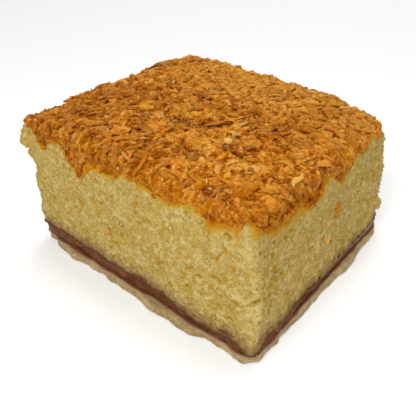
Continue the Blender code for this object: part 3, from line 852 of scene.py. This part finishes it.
def make_sponge():
    border = outline(SPONGE_CELLS)
    underside, top = raised(jam_top, GAP / 2), raised(sponge_top, GAP * 1.5)
    low, high = ring(underside, border), ring(top, border)
    jam_height = low[:, 2].copy()
    low[:, 2] -= [bulges(FRINGES, x, y, FRINGE_INWARD) for x, y, _ in low]
    low[:, 2] -= FRINGE_RAGGED * lumps(low * (1, 1, 0), 0.0016, 97)
    low[:, 2] -= FOOT_TONGUE * fade("near corner", low, FOOT_TONGUE_REACH)
    high[:, 2] += TOP_TONGUE * fade("near corner", high, TOP_TONGUE_REACH)
    share = np.linspace(0, 1, SPONGE_COURSES + 1)[:, None]
    z = low[:, 2] * (1 - share) + high[:, 2] * share
    plan = low[:, :2]
    steps = np.linalg.norm(np.roll(plan, -1, axis=0) - plan, axis=1)
    run, length = np.concatenate([[0], np.cumsum(steps)[:-1]]), steps.sum()
    points = np.empty((*z.shape, 3))
    points[..., :2], points[..., 2] = plan, z
    out = np.array([sponge_side(*row) for row in points.reshape(-1, 3).tolist()]).reshape(z.shape)
    for place, rows in FINE_LUMPS.items():
        for height, lump, reach in rows:
            gap = (points - (*PLACES[place], height)) / (LUMP_SPREAD, LUMP_SPREAD, 1.0) / reach
            out += lump * np.exp(-(gap**2).sum(axis=-1))
    grain = layered(points, CRUMB_RELIEF, 80)
    out += grain

    draw = random.Random(LOOK_SEED)
    pits, crumbs = np.zeros_like(out), np.zeros_like(out)
    ragged = PORE_RAGGED[1] * lumps(points, PORE_RAGGED[0], 88)
    for dent in dents(PORES, draw, lambda: draw.gauss(0, 0.5), length):
        stamp(pits, run, z, *dent, ragged)
    corner_run = run[np.argmin(np.abs(plan[:, 0] - HALF_WIDTH) + np.abs(plan[:, 1] + HALF_DEPTH))]
    for distance, height, half_width, half_height in HOLES:
        centre, radii = (corner_run + distance, height), (half_width, half_height)
        stamp(pits, run, z, centre, radii, HOLE_TURN, half_height * HOLE_DEPTH, ragged / 3)
    for bump in dents(BUMPS, draw, lambda: draw.uniform(0, 3), length):
        stamp(crumbs, run, z, *bump, ragged)
    out += np.minimum(crumbs, BUMP_MOST) - np.minimum(pits, PIT_MOST)

    ends = np.minimum(share, 1 - share) * SPONGE_COURSES / 2
    out = out * np.clip(0.4 + 0.6 * ends, 0, 1)
    tongue = fade("near corner", points, FOOT_TONGUE_REACH)
    out += TONGUE_PROUD * tongue * (np.abs(2 * share - 1) ** 4)
    out += FRINGE_PROUD * np.clip((jam_height - z) / FRINGE_BLEND, 0, 1)
    away = ways_out(border)
    points[..., :2] += away * out[..., None]

    keep = SYRUP_LEAST + (1 - SYRUP_LEAST) * fade("near corner", points, SYRUP_SPREAD)
    syrup = seeped(points, high[:, 2] - z, keep, SYRUP)
    keep = 1 - DARK_TOWARDS_JAM_LESS * fade("right corner", points, SMEAR_REACH)
    dark_towards_jam = seeped(points, z - low[:, 2], keep, DARK_TOWARDS_JAM)
    # Painted light and shade from the relief: raised crumb paler, pits and holes darker.
    lit_or_shaded = crumbs / BUMP_FULL + grain / GRAIN_FULL - pits / PIT_FULL
    # The near corner gets a painted highlight.
    lit_or_shaded += CORNER_HIGHLIGHT * fade("near corner", points, CORNER_HIGHLIGHT_REACH)
    tone = np.stack([0.5 - 0.5 * np.clip(lit_or_shaded, -1, 1), syrup, dark_towards_jam], axis=2).clip(0, 1)
    inner_low = [ring(underside, border, inset) for inset in (FLAT_INSET, BAND_INSET)]
    inner_high = [ring(top, border, inset) for inset in (BAND_INSET, FLAT_INSET)]
    plain = np.zeros((2 * len(border), 3))
    rings = [*inner_low, *points, *inner_high]
    piece = closed_layer("sponge_crumb_block", rings, [plain, tone.reshape(-1, 3), plain])
    add_piece(piece, SPONGE_LOOK, "sponge")
    return points, away, tone


# ---------- crumbs on the sponge's cut faces ----------

CRUMBS = 7600
CRUMB_RADIUS = (0.00018, 0.00042)
CRUMB_STRETCH = (0.7, 1.4)
CRUMB_UNEVEN = 0.14
CRUMB_SINK = (-0.6, 0.25)  # how far out its middle lies, in radii
# How the crumbs are painted: 0 is full painted highlight, 0.5 neither, 1 full painted shade.
CRUMB_LIGHTING = (0.05, 0.55)


def lump_shape():
    """The points and faces of a unit icosahedron."""
    bm = bmesh.new()
    bmesh.ops.create_icosphere(bm, subdivisions=1, radius=1.0)
    bm.verts.ensure_lookup_table()
    points = np.array([vert.co[:] for vert in bm.verts])
    faces = np.array([[vert.index for vert in face.verts] for face in bm.faces])
    bm.free()
    return points, faces


def random_turns(rng, amount):
    """Random rotation matrices."""
    q = rng.normal(0, 1, (amount, 4))
    w, x, y, z = (q / np.linalg.norm(q, axis=1)[:, None]).T
    rows = [
        [1 - 2 * (y * y + z * z), 2 * (x * y - z * w), 2 * (x * z + y * w)],
        [2 * (x * y + z * w), 1 - 2 * (x * x + z * z), 2 * (y * z - x * w)],
        [2 * (x * z - y * w), 2 * (y * z + x * w), 1 - 2 * (x * x + y * y)],
    ]
    return np.array(rows).transpose(2, 0, 1)


def make_crumbs(wall, away, tone):
    rng = np.random.default_rng(LOOK_SEED)
    courses, count, _ = wall.shape
    rows, columns = rng.integers(0, courses, CRUMBS), rng.integers(0, count, CRUMBS)
    radius = CRUMB_RADIUS[0] + (CRUMB_RADIUS[1] - CRUMB_RADIUS[0]) * rng.random(CRUMBS) ** 2
    places, tones = wall[rows, columns], tone[rows, columns]
    places[:, :2] += away[columns] * (radius * rng.uniform(*CRUMB_SINK, CRUMBS))[:, None]
    # The crumbs are painted paler, as lit raised crumb.
    tones[:, 0] = rng.uniform(*CRUMB_LIGHTING, CRUMBS)
    shape, faces = lump_shape()
    size = radius[:, None] * rng.uniform(*CRUMB_STRETCH, (CRUMBS, 3))
    lumpy = shape[None] * (1 + rng.normal(0, CRUMB_UNEVEN, (CRUMBS, len(shape), 1)))
    points = np.einsum("nij,nkj->nki", random_turns(rng, CRUMBS), lumpy * size[:, None])
    points += places[:, None]
    every = (faces[None] + (np.arange(CRUMBS) * len(shape))[:, None, None]).reshape(-1, 3)
    tones = np.repeat(tones, len(shape), axis=0)
    piece = new_mesh("sponge_crumbs", settled(points.reshape(-1, 3)), every.tolist(), tones)
    add_piece(piece, SPONGE_LOOK)


# ---------- topping ----------

BED_RELIEF = mm((4.5, 0.45), (2.2, 0.4), (1.1, 0.25))  # (size, depth)
BED_SINK = 0.0008
BED_FADE = 0.002  # its relief fades out this near the coconut's lower edge
BED_SIDE_RINGS = 9
SHOULDER_REACH = 0.003  # how far in the topping's rounded shoulder starts
FUSED_VOXEL = 0.00041
HEAP = mm((33.5, 34.5, 0.5, 5.5))  # where it is heaped, as the waves of the top
HOLLOW_PASSES = 5
HOLLOW_FULL = 0.00014  # a hollow this deep gets the full painted shade, a crest this high the full painted highlight
GLAZE_HEIGHT = 0.004
TOP_LIMIT = 0.046
OVERHANG = 0.0008  # how far shreds may stand out beyond the plan
FRINGE = 0.0004  # how far they may hang below the coconut's edge
FRINGE_MORE = 0.004  # and how much farther where it is ragged
# Where the sponge shows between the coconut on the front: (distance from the near corner,
# half width, height of its top), and how far in from the front that reaches.
BARE_SPOT = (0.0014, 0.0006, 0.0412)
BARE_DEPTH = 0.0012
THIN_EDGE = 0.0006
THIN_REACH = 0.0062
STAND_MOST = 0.0009  # how far a piece may stand up off the shoulder
SQUARENESS = 0.8  # below 1, the pieces are squarer in section than an ellipse


def rounded_top(x, y):
    """The topping's top with its shoulder rounded off towards the sides."""
    share = 1 - min(max(inset_of(x, y), 0.0) / SHOULDER_REACH, 1.0)
    full = 1 - sum(less * near(place, x, y, reach) for place, less, reach in THIN_COATS)
    return topping_top(x, y) - TOPPING_SHOULDER * share**2 * full + waves(HEAP, x, y)


def bed_form():
    """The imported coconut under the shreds: its points, normals, faces, first open point."""
    nx, ny = TOPPING_CELLS
    border = outline(TOPPING_CELLS)
    count = len(border)
    underside = raised(sponge_top, GAP)
    rings = [ring(underside, border, inset) for inset in (FLAT_INSET, BAND_INSET)]
    for i in range(BED_SIDE_RINGS + 1):
        t = i / BED_SIDE_RINGS

        def side(x, y, z, grow=ease(t * 1.6)):
            return sponge_side(x, y, z) * (1 - grow) + topping_side(x, y, z) * grow

        rings.append(ring(between(underside, rounded_top, t), border, side=side))
    wall = np.concatenate(rings)
    faces = wall_faces(len(rings), count).tolist()
    faces.append(list(range(count))[::-1])
    index = {}
    for k, (u, v) in enumerate(border):
        index[round((u + 1) * nx / 2), round((v + 1) * ny / 2)] = len(wall) - count + k
    top = []
    for i in range(1, nx):
        for j in range(1, ny):
            x, y = plan_point(2 * i / nx - 1, 2 * j / ny - 1)
            index[i, j] = len(wall) + len(top)
            top.append((x, y, rounded_top(x, y)))
    for i in range(nx):
        for j in range(ny):
            faces.append([index[i, j], index[i + 1, j], index[i + 1, j + 1], index[i, j + 1]])
    points = np.concatenate([wall, np.array(top)])
    mesh = bpy.data.meshes.new("normals")
    mesh.from_pydata(points.tolist(), [], faces)
    normals = read(mesh.vertex_normals, "vector")
    bpy.data.meshes.remove(mesh)
    push = layered(points, BED_RELIEF, 110) - BED_SINK
    push *= np.clip((points[:, 2] - edge_heights(points)) / BED_FADE, 0, 1)
    push[: 3 * count] = 0
    return points + normals * push[:, None], normals, faces, 2 * count


def glaze_at(points, normals):
    """How much syrup there is: most low on the drips, and none on top."""
    low = np.clip(1.2 - (points[:, 2] - edge_heights(points)) / GLAZE_HEIGHT, 0, 1)
    return low * np.clip(2 - 2.5 * np.abs(normals[:, 2]), 0, 1)


def scatter_points(points, faces, first, amount, seed):
    """Random places on the faces whose points are all numbered from first on."""
    rng = np.random.default_rng(seed)
    quads = np.array([f for f in faces if len(f) == 4 and min(f) >= first])
    tris = np.concatenate([quads[:, [0, 1, 2]], quads[:, [0, 2, 3]]])
    a, b, c = (points[tris[:, k]] for k in range(3))
    areas = np.linalg.norm(np.cross(b - a, c - a), axis=1)
    pick = rng.choice(len(tris), amount, p=areas / areas.sum())
    r, s = rng.random(amount), rng.random(amount)
    over = r + s > 1
    r[over], s[over] = 1 - r[over], 1 - s[over]
    return tris[pick], np.stack([1 - r - s, r, s], axis=1)[:, :, None], rng


def outside(points):
    """How far points lie outside the plan's rounded outline, and which way that is."""
    x, y = points[..., 0], points[..., 1]
    radius = np.zeros_like(x)
    for (to_right, to_back), value in CORNER_RADIUS.items():
        radius[((x > 0) == to_right) & ((y > 0) == to_back)] = value
    past_x = np.abs(x) - (HALF_WIDTH - radius)
    past_y = np.abs(y) - (HALF_DEPTH - radius)
    corner = (past_x > 0) & (past_y > 0)
    length = np.maximum(np.hypot(past_x, past_y), 1e-9)
    distance = np.where(corner, length, np.maximum(past_x, past_y)) - radius
    to_x = np.where(corner, past_x / length, past_x > past_y)
    to_y = np.where(corner, past_y / length, past_x <= past_y)
    return distance, np.stack([np.sign(x) * to_x, np.sign(y) * to_y], axis=-1)


def shred_strips(rng, amount, length, width, thick, stations, sides, bend, curl, twist):
    """Plump bent pieces along X, as an array (amount, stations, sides, 3), and t along."""
    half = rng.uniform(*length, amount)[:, None] / 2
    t = np.sin(np.linspace(-1, 1, stations) * math.pi / 2)[None]
    sway = rng.normal(0, bend, amount)[:, None]
    bow = rng.normal(curl * 0.5, curl, amount)[:, None]
    wave = rng.normal(0, bend * 0.35, amount)[:, None]
    centre = [
        half * t * (1 - 0.18 * sway**2 - 0.18 * bow**2),
        half * (sway * (t * t - 0.4) + wave * np.sin(math.pi * t)),
        -half * bow * (t * t - 0.4),
    ]
    blunt = rng.uniform(2.0, 5.0, amount)[:, None]
    full = np.sqrt(1.06 - np.abs(t) ** blunt)
    full = full * (1 + 0.14 * rng.normal(0, 1, (amount, stations))).clip(0.6, 1.4)
    w = (rng.uniform(*width, amount)[:, None] / 2 * full)[:, :, None]
    h = (rng.uniform(*thick, amount)[:, None] / 2 * full**0.6)[:, :, None]
    roll = (rng.normal(0, twist, amount)[:, None] * t)[:, :, None]
    angles = 2 * math.pi * (np.arange(sides) + 0.5) / sides
    c, s = np.cos(angles), np.sin(angles)
    y0 = w * np.sign(c) * np.abs(c) ** SQUARENESS
    z0 = h * np.sign(s) * np.abs(s) ** SQUARENESS
    y = y0 * np.cos(roll) - z0 * np.sin(roll)
    z = y0 * np.sin(roll) + z0 * np.cos(roll)
    y = y * (1 + 0.14 * rng.normal(0, 1, y.shape))
    strips = np.repeat(np.stack(centre, axis=2)[:, :, None], sides, axis=2)
    strips[..., 1] += y
    strips[..., 2] += z
    return strips, t


def place_strips(strips, places, normals, rng, tip):
    """Lays each strip on its place, turned at random about the normal and tipped a little."""
    amount = len(strips)
    turn = rng.uniform(0, 2 * math.pi, amount)
    guide = np.stack([np.cos(turn), np.sin(turn), 0.3 * np.sin(turn * 3)], axis=1)
    along_it = np.cross(normals, guide)
    along_it /= np.linalg.norm(along_it, axis=1)[:, None]
    across = np.cross(normals, along_it)
    pitch, roll = (rng.normal(0, spread, amount)[:, None] for spread in (tip, tip * 1.4))
    x_axis = along_it * np.cos(pitch) + normals * np.sin(pitch)
    z_axis = normals * np.cos(pitch) - along_it * np.sin(pitch)
    y_axis = across * np.cos(roll) + z_axis * np.sin(roll)
    z_axis = z_axis * np.cos(roll) - across * np.sin(roll)
    axes = (x_axis, y_axis, z_axis)
    turned = sum(strips[..., k, None] * axis[:, None, None] for k, axis in enumerate(axes))
    return turned + places[:, None, None]


def off_bare_spot(strips):
    """Which strips leave the strip of sponge bare that shows near the near corner."""
    distance, height = BARE_SPOT[0] - (HALF_WIDTH - strips[..., 0]), strips[..., 2]
    over = (np.abs(distance) < BARE_SPOT[1]) & (height < BARE_SPOT[2])
    over &= strips[..., 1] < -HALF_DEPTH + BARE_DEPTH
    return ~over.any(axis=(1, 2))


def off_thin_corner(strips):
    """Which strips stay clear of the right corner's edge, where the coat is thin."""
    corner = np.hypot(strips[..., 0] - HALF_WIDTH, strips[..., 1] - HALF_DEPTH)
    clear = outside(strips)[0].max(axis=(1, 2)) < -THIN_EDGE
    return clear | (corner.min(axis=(1, 2)) > THIN_REACH)


def stands_up(strips):
    """Which strips stick up over the shoulder, where the outline would show them."""
    flat = strips.reshape(len(strips), -1, 3)
    tips = flat[np.arange(len(flat)), flat[:, :, 2].argmax(axis=1)]
    over = np.array([z - rounded_top(x, y) for x, y, z in tips])
    return (over > STAND_MOST) & (outside(tips)[0] > -SHOULDER_REACH)


def keep_on_slice(strips):
    """Moves strips that hang out over the sides, below the coconut's edge or too high."""
    flat = strips.reshape(len(strips), -1, 3)
    distance, way = outside(flat)
    worst = distance.argmax(axis=1)
    rows = np.arange(len(strips))
    over = np.maximum(distance[rows, worst] - OVERHANG, 0)
    flat[:, :, :2] -= (way[rows, worst] * over[:, None])[:, None, :]
    ends = flat[rows, flat[:, :, 2].argmin(axis=1)]
    hang = FRINGE + FRINGE_MORE * np.clip(lumps(ends, 0.0016, 141), 0, 1)
    below = edge_heights(ends) - hang - ends[:, 2]
    flat[:, :, 2] += np.where(outside(ends)[0] > -BAND_INSET, below.clip(0), 0)[:, None]
    tops = flat[:, :, 2].max(axis=1)
    flat[:, :, 2] -= np.maximum(tops - TOP_LIMIT, 0)[:, None]
    return flat.reshape(strips.shape)


def strip_faces(shape, first=0):
    """The faces of strips whose points are numbered from first on."""
    amount, stations, sides, _ = shape
    starts = first + np.arange(amount) * stations * sides
    faces = (wall_faces(stations, sides) + starts[:, None, None]).reshape(-1, 4).tolist()
    for start in starts.tolist():
        end = start + (stations - 1) * sides
        faces += [list(range(start, start + sides))[::-1], list(range(end, end + sides))]
    return faces


def add_strips(name, strips, tone):
    points = settled(strips.reshape(-1, 3))
    piece = new_mesh(name, points, strip_faces(strips.shape), tone.reshape(-1, 3))
    add_piece(piece, COCONUT_LOOK)


# Kinds of coconut: (how many, length, width, thickness, points along, points round, bend,
# curl, twist, lift range, tip, share of pale ones). Flakes and lumps are fused in one skin.
FUSED_KINDS = [
    (2200, (0.0026, 0.005), (0.001, 0.0021), (0.0007, 0.0011), 6, 7,
     0.26, 0.22, 0.5, (-0.0005, 0.0004), 0.14, 0.05),
    (1500, (0.0012, 0.0024), (0.0009, 0.0017), (0.0008, 0.0012), 4, 6,
     0.2, 0.1, 0.3, (-0.0004, 0.0003), 0.35, 0.05),
]
LOOSE_KINDS = {
    "coconut_long_shreds": (820, (0.0034, 0.007), (0.0008, 0.0015), (0.00055, 0.00095), 8, 8,
                            0.3, 0.2, 0.55, (-0.0002, 0.0005), 0.1, 0.07),
    "coconut_flakes": (760, (0.0028, 0.006), (0.0014, 0.0029), (0.0006, 0.00105), 7, 8,
                       0.22, 0.26, 0.5, (-0.0002, 0.0005), 0.13, 0.06),
    "coconut_crumbs": (1300, (0.0008, 0.0026), (0.0004, 0.0009), (0.0004, 0.00075), 4, 6,
                       0.2, 0.1, 0.2, (0.0, 0.0006), 0.45, 0.12),
}
TOAST_MIDDLE = 0.58
# Broad patches of toast: (size, salt, depth).
TOAST_LUMPS = ((0.012, 130, 0.18), (0.0045, 133, 0.42), (0.0022, 136, 0.26))
LIGHT_SLOPE = (-0.6, -2.3)  # painted light: lighter towards the back and the right, where more light falls
VIVID_PLACE = (0.01, -0.008)  # where the browns and golds differ most
VIVID_REACH = 0.026
VIVID_LEAST = 0.5
VIVID_MORE = 0.95
# Where the topping is browner, or paler: (x, y, how much, reach).
TOAST_PATCHES = mm(
    (12.4, -23.3, 0.22, 5), (-4.1, 12.4, 0.26, 3), (4.1, 19, 0.14, 4),
    (-29.7, -4.4, 0.3, 2.8), (-30.5, -15.3, 0.18, 5), (-13.2, -26.2, 0.15, 3),
    (19.8, -7.3, 0.22, 2.4), (19.8, -15.3, 0.22, 2.4), (25.5, 4.4, 0.2, 2),
    (23.5, 26, 0.15, 2.5), (-10.7, 25.5, 0.15, 2.5), (-16.4, -31.4, 0.22, 2.2),
    (39.4, 2.4, 0.35, 1.8), (-6.6, -8.7, -0.14, 4), (3.3, -20.4, -0.16, 2.2),
    (17.3, 19, -0.14, 5), (-24.7, 17.5, -0.1, 5), (30, -1, -0.1, 3),
    (31, -29, -0.16, 11), (-25, 30, -0.2, 16), (-2, -4, 0.14, 16),
    (-29, -13, 0.12, 13), (-38, -34, 0.14, 12), (5, 29, -0.14, 18),
    plain=(2,),
)
STEEP = 0.7  # faces whose normals rise less than this are sides
STEEP_SINK = 0.0003
RIM_HEIGHT = 0.0018  # pieces this near the coconut's lower edge
RIM_DROP = 0.0014  # hang down by up to this much
DRIP_HEIGHT = 0.0024  # below this, over the edge, few loose pieces lie on the drips
DRIP_SHARE = 0.75
TOAST_SPREAD = 0.16  # from piece to piece
END_SPREAD = 0.08  # from end to end of a piece
BURNT = (0.03, 0.3)  # the share of pieces that are browner, and how much
PALER = (0.15, 0.58)
LIT_SIDE, SHADED_SIDE = 0.12, 0.2  # how much lighter the lit upper side and darker the shaded underside of a piece are painted
FAR_LIGHT = 0.14  # painted light: how much paler the pieces are painted at the back, where more light falls
CREST_HIGHLIGHT = 0.35  # painted highlight: how much paler the upper side of the palest pieces is painted


def vividness(points):
    """How much the coconut's browns and golds differ: most in the middle."""
    return VIVID_LEAST + VIVID_MORE * fade(VIVID_PLACE, points, VIVID_REACH)


def toast_and_light_at(points):
    """How browned the topping is at these places, from 0 to 1 in broad patches, with painted
    light making it lighter towards the back and the right.
    """
    toast_and_shading = sum(depth * lumps(points, size, salt) for size, salt, depth in TOAST_LUMPS)
    for x, y, more, reach in TOAST_PATCHES:
        toast_and_shading += more * fade((x, y), points, reach)
    return TOAST_MIDDLE + vividness(points) * toast_and_shading + points[:, :2] @ np.array(LIGHT_SLOPE)


def laid_strips(kind, bed, number):
    """Strips of one kind laid all over the bed, and their tone."""
    points, normals, faces, first = bed
    amount, *form, lift, tip, pale = kind
    tris, weights, rng = scatter_points(points, faces, first, amount, LOOK_SEED + number)
    places = (points[tris] * weights).sum(axis=1)
    facing = (normals[tris] * weights).sum(axis=1)
    facing /= np.linalg.norm(facing, axis=1)[:, None]
    upright = np.abs(facing[:, 2]) < STEEP
    height = rng.uniform(*lift, amount)
    above = places[:, 2] - edge_heights(places)
    rim = upright & (above < RIM_HEIGHT)
    lifted = places + facing * (height - STEEP_SINK * (upright & ~rim))[:, None]
    lifted[:, 2] -= rim * rng.uniform(0, RIM_DROP, amount)
    strips, t = shred_strips(rng, amount, *form)
    strips = keep_on_slice(place_strips(strips, lifted, facing, rng, tip))
    keep = off_bare_spot(strips) & off_thin_corner(strips) & ~stands_up(strips)
    if number < len(LOOSE_KINDS):
        keep &= ~(upright & (above < DRIP_HEIGHT) & (rng.random(amount) < DRIP_SHARE))
    rise = ((strips - strips.mean(axis=2, keepdims=True)) * facing[:, None, None]).sum(axis=-1)
    rise /= np.abs(rise).max(axis=(1, 2), keepdims=True)
    toast_and_shading = toast_and_light_at(places) + rng.normal(0, TOAST_SPREAD, amount) * vividness(places)
    # Pieces that lie lower come out darker, and higher ones lighter.
    toast_and_shading -= 0.2 * (height - lift[0]) / (lift[1] - lift[0]) - 0.1
    toast_and_shading[rng.random(amount) < BURNT[0]] += BURNT[1]
    paler = np.where(rng.random(amount) < pale, rng.uniform(*PALER, amount), 0.0)
    tone = np.zeros(strips.shape)
    tone[..., 0] = (toast_and_shading[:, None] + rng.normal(0, END_SPREAD, amount)[:, None] * t)[:, :, None]
    # Painted light on each piece's upper side, painted shade on its underside.
    tone[..., 0] -= np.where(rise > 0, LIT_SIDE, SHADED_SIDE) * rise
    # A painted highlight on the upper side of some pieces.
    crest_highlight = CREST_HIGHLIGHT * rng.random(amount) ** 2
    # Painted light: paler towards the back.
    paler += FAR_LIGHT * np.clip(places[:, 1] / HALF_DEPTH, 0, 1)
    tone[..., 1] = paler[:, None, None] + crest_highlight[:, None, None] * np.clip(rise, 0, 1)
    tone[..., 2] = glaze_at(places, facing)[:, None, None]
    return strips[keep], tone[keep]


def hollows(points, normals, edges):
    """How deep each point lies below the mean of those round it, along its normal."""
    mean = points
    for _ in range(HOLLOW_PASSES):
        ends, others = edges.T.reshape(-1), edges[:, ::-1].T.reshape(-1)
        number = np.bincount(ends, minlength=len(points))
        total = [np.bincount(ends, mean[others, k], len(points)) for k in range(3)]
        mean = np.stack(total, axis=1) / np.maximum(number, 1)[:, None]
    return ((mean - points) * normals).sum(axis=1)


def open_underside(mesh):
    """Puts one flat face in place of the many that the skin has under its middle."""
    bm = bmesh.new()
    bm.from_mesh(mesh)
    under = []
    for face in bm.faces:
        middle = face.calc_center_median()
        low = face.normal.z < -0.9 and middle.z < SPONGE_TOP + GAP + FUSED_VOXEL
        if low and inset_of(*(middle - Vector(SHIFT)).xy) > FLAT_INSET:
            under.append(face)
    bmesh.ops.delete(bm, geom=under, context="FACES")
    rim = [edge for edge in bm.edges if edge.is_boundary]
    bmesh.ops.holes_fill(bm, edges=rim, sides=0)
    bm.to_mesh(mesh)
    bm.free()


def make_fused(bed):
    """The bed and most of the coconut on it, fused in one skin."""
    points, normals, faces, _ = bed
    toast_and_shading = toast_and_light_at(points) + 0.08
    tones = [np.stack([toast_and_shading, toast_and_shading * 0, glaze_at(points, normals)], axis=1)]
    bodies, every = [points], list(faces)
    for number, kind in enumerate(FUSED_KINDS):
        strips, tone = laid_strips(kind, bed, 10 + number)
        every += strip_faces(strips.shape, sum(len(body) for body in bodies))
        bodies.append(strips.reshape(-1, 3))
        tones.append(tone.reshape(-1, 3))
    points, tones = settled(np.concatenate(bodies)), np.concatenate(tones)
    raw = new_mesh("coconut_raw", points, every)
    remesh = raw.modifiers.new("skin", "REMESH")
    remesh.mode = "VOXEL"
    remesh.voxel_size = FUSED_VOXEL
    depsgraph = bpy.context.evaluated_depsgraph_get()
    skin = bpy.data.meshes.new_from_object(raw.evaluated_get(depsgraph))
    bpy.data.objects.remove(raw)
    open_underside(skin)
    tree = KDTree(len(points))
    for i, point in enumerate(points.tolist()):
        tree.insert(point, i)
    tree.balance()
    places = read(skin.vertices, "co")
    tone = tones[np.array([tree.find(place)[1] for place in places.tolist()])]
    edges = read(skin.edges, "vertices", 2, np.int32)
    deep = hollows(places, read(skin.vertex_normals, "vector"), edges) / HOLLOW_FULL
    # Painted shade in the hollows of the skin, painted light and highlight on its crests.
    tone[:, 0] += 0.25 * np.clip(deep, 0, 1) - 0.12 * np.clip(-deep, 0, 1)
    tone[:, 1] += 0.2 * np.clip(-deep - 0.7, 0, 1)
    polygons = [tuple(face.vertices) for face in skin.polygons]
    bpy.data.meshes.remove(skin)
    piece = new_mesh("coconut_bed", places, polygons, tone)
    add_piece(piece, COCONUT_LOOK, "toasted_coconut")


def make_loose(bed):
    for number, (name, kind) in enumerate(LOOSE_KINDS.items()):
        add_strips(name, *laid_strips(kind, bed, number))


# Single bits that show: (middle, the way it points, the way its flat side faces, (length,
# width, thickness, bow), toast, pale), in millimetres and the form's coordinates. Three lie
# on the top, three on the right face, one on the front and one on the rim.
BITS = [
    ((10.3, -5.8, 43.6), (0.45, 0.89, 0.02), (0, 0, 1), (5, 1.3, 0.8, 0.4), 0.97, 0),
    ((7.8, -8.4, 43.4), (0.6, 0.8, 0), (0, 0, 1), (4, 0.9, 0.6, 0.2), 0.72, 0.2),
    ((17.2, -13.3, 43.5), (0.8, 0.6, 0), (0, 0, 1), (2.2, 2.1, 1.6, 0), 0.05, 0.95),
    ((40.8, 3.2, 24.2), (0, 0.24, 0.97), (1, 0, 0), (4.6, 3, 1, 0.1), 0.32, 0),
    ((40.4, -0.8, 16.7), (0, 0.9, 0.4), (1, 0, 0), (2.6, 2.2, 1.2, 0), -0.3, 1),
    ((41, 0, 16.1), (0, 0.3, 0.9), (1, 0, 0), (1, 0.6, 0.4, 0), 0.6, 0),
    ((-7.2, -36, 18), (1, 0, 0.3), (0, -1, 0), (1.7, 1.4, 0.5, 0), 0.1, 0.35),
    ((39.9, -4.2, 41.2), (0.3, 0.9, -0.3), (0.7, 0, 0.7), (4.8, 1.7, 0.6, 0.4), 0.2, 0.3),
]
BIT_STATIONS = 7
BIT_SIDES = 8
BIT_TAPER = 0.45


def make_bits():
    """The single bits, each a tapered strip laid where it shows."""
    strips, tones = [], []
    t = np.linspace(-1, 1, BIT_STATIONS)[:, None]
    turn = 2 * math.pi * (np.arange(BIT_SIDES) + 0.5) / BIT_SIDES
    taper = 1 - BIT_TAPER * np.abs(t) ** 3
    for middle, way, facing, size, toast_and_shading, pale in BITS:
        middle, (length, width, thick, bow) = mm(middle, size)
        x_axis = Vector(way).normalized()
        z_axis = (Vector(facing) - x_axis * x_axis.dot(Vector(facing))).normalized()
        across = width / 2 * taper * np.cos(turn)
        up = thick / 2 * taper * np.sin(turn) - bow * (t * t)
        run = np.broadcast_to(length / 2 * t, across.shape)
        axes = np.array([x_axis, z_axis.cross(x_axis), z_axis])
        strips.append(np.stack([run, across, up], axis=-1) @ axes + np.array(middle))
        tones.append(np.broadcast_to((toast_and_shading, pale, 0), strips[-1].shape))
    add_strips("coconut_single_bits", np.array(strips), np.array(tones))


# ---------- floor, light and camera ----------

VIEW_TARGET = Vector((0.0, 0.0, 0.0211))
VIEW_DISTANCE = 0.1711
VIEW_AZIMUTH = 41.0
VIEW_ELEVATION = 33.9
VIEW_ROLL = -1.7
VIEW_SIDEWAYS = -0.0015
VIEW_UPWARDS = -0.0097
VIEW_ANGLE = 40.0
FLOOR_HALF = 2.5
FLOOR_HEIGHT = -0.0001
WORLD_STRENGTH = 0.55
LIGHT_TARGET = Vector((0, 0, 0.02))
# Soft lights: (name, place, size, power).
LIGHTS = [("key", (0.078, -0.165, 0.215), 0.13, 0.45), ("top", (-0.1, 0.47, 1.1), 0.8, 5.6)]


def make_camera():
    azimuth, elevation = math.radians(VIEW_AZIMUTH), math.radians(VIEW_ELEVATION)
    out = math.cos(elevation)
    back = Vector((math.sin(azimuth) * out, -math.cos(azimuth) * out, math.sin(elevation)))
    right = Vector((math.cos(azimuth), math.sin(azimuth), 0))
    up = back.cross(right)
    roll = math.radians(VIEW_ROLL)
    x_axis = right * math.cos(roll) + up * math.sin(roll)
    y_axis = up * math.cos(roll) - right * math.sin(roll)
    place = VIEW_TARGET + Vector(SHIFT) + back * VIEW_DISTANCE
    place += right * VIEW_SIDEWAYS + up * VIEW_UPWARDS
    data = bpy.data.cameras.new("photo_view")
    data.angle = math.radians(VIEW_ANGLE)
    data.clip_start = 0.01
    camera = add_object("photo_view", data)
    turn = Matrix((x_axis, y_axis, back)).transposed().to_4x4()
    camera.matrix_world = Matrix.Translation(place) @ turn
    bpy.context.scene.camera = camera


def make_light(name, place, size, power):
    data = bpy.data.lights.new(name, "AREA")
    data.size = size
    data.energy = power
    light = add_object(name, data)
    light.location = place
    light.rotation_euler = (Vector(place) - LIGHT_TARGET).to_track_quat("Z", "Y").to_euler()


def make_stage():
    mesh = bpy.data.meshes.new("floor")
    corners = ((-1, -1), (1, -1), (1, 1), (-1, 1))
    corners = [(x * FLOOR_HALF, y * FLOOR_HALF, FLOOR_HEIGHT) for x, y in corners]
    mesh.from_pydata(corners, [], [(0, 1, 2, 3)])
    n = Nodes("floor_white")
    n.set(Base_Color=(0.96, 0.96, 0.96, 1), Roughness=0.9)
    mesh.materials.append(n.material)
    floor = add_object("floor", mesh)
    world = bpy.data.worlds.new("studio")
    world.use_nodes = True
    background = world.node_tree.nodes["Background"]
    background.inputs["Color"].default_value = (1.0, 1.0, 1.0, 1)
    background.inputs["Strength"].default_value = WORLD_STRENGTH
    bpy.context.scene.world = world
    bpy.context.scene.view_settings.view_transform = "Standard"
    for light in LIGHTS:
        make_light(*light)


make_camera()
make_stage()
make_pastry()
make_jam()
make_crumbs(*make_sponge())
the_bed = bed_form()
make_fused(the_bed)
make_loose(the_bed)
make_bits()
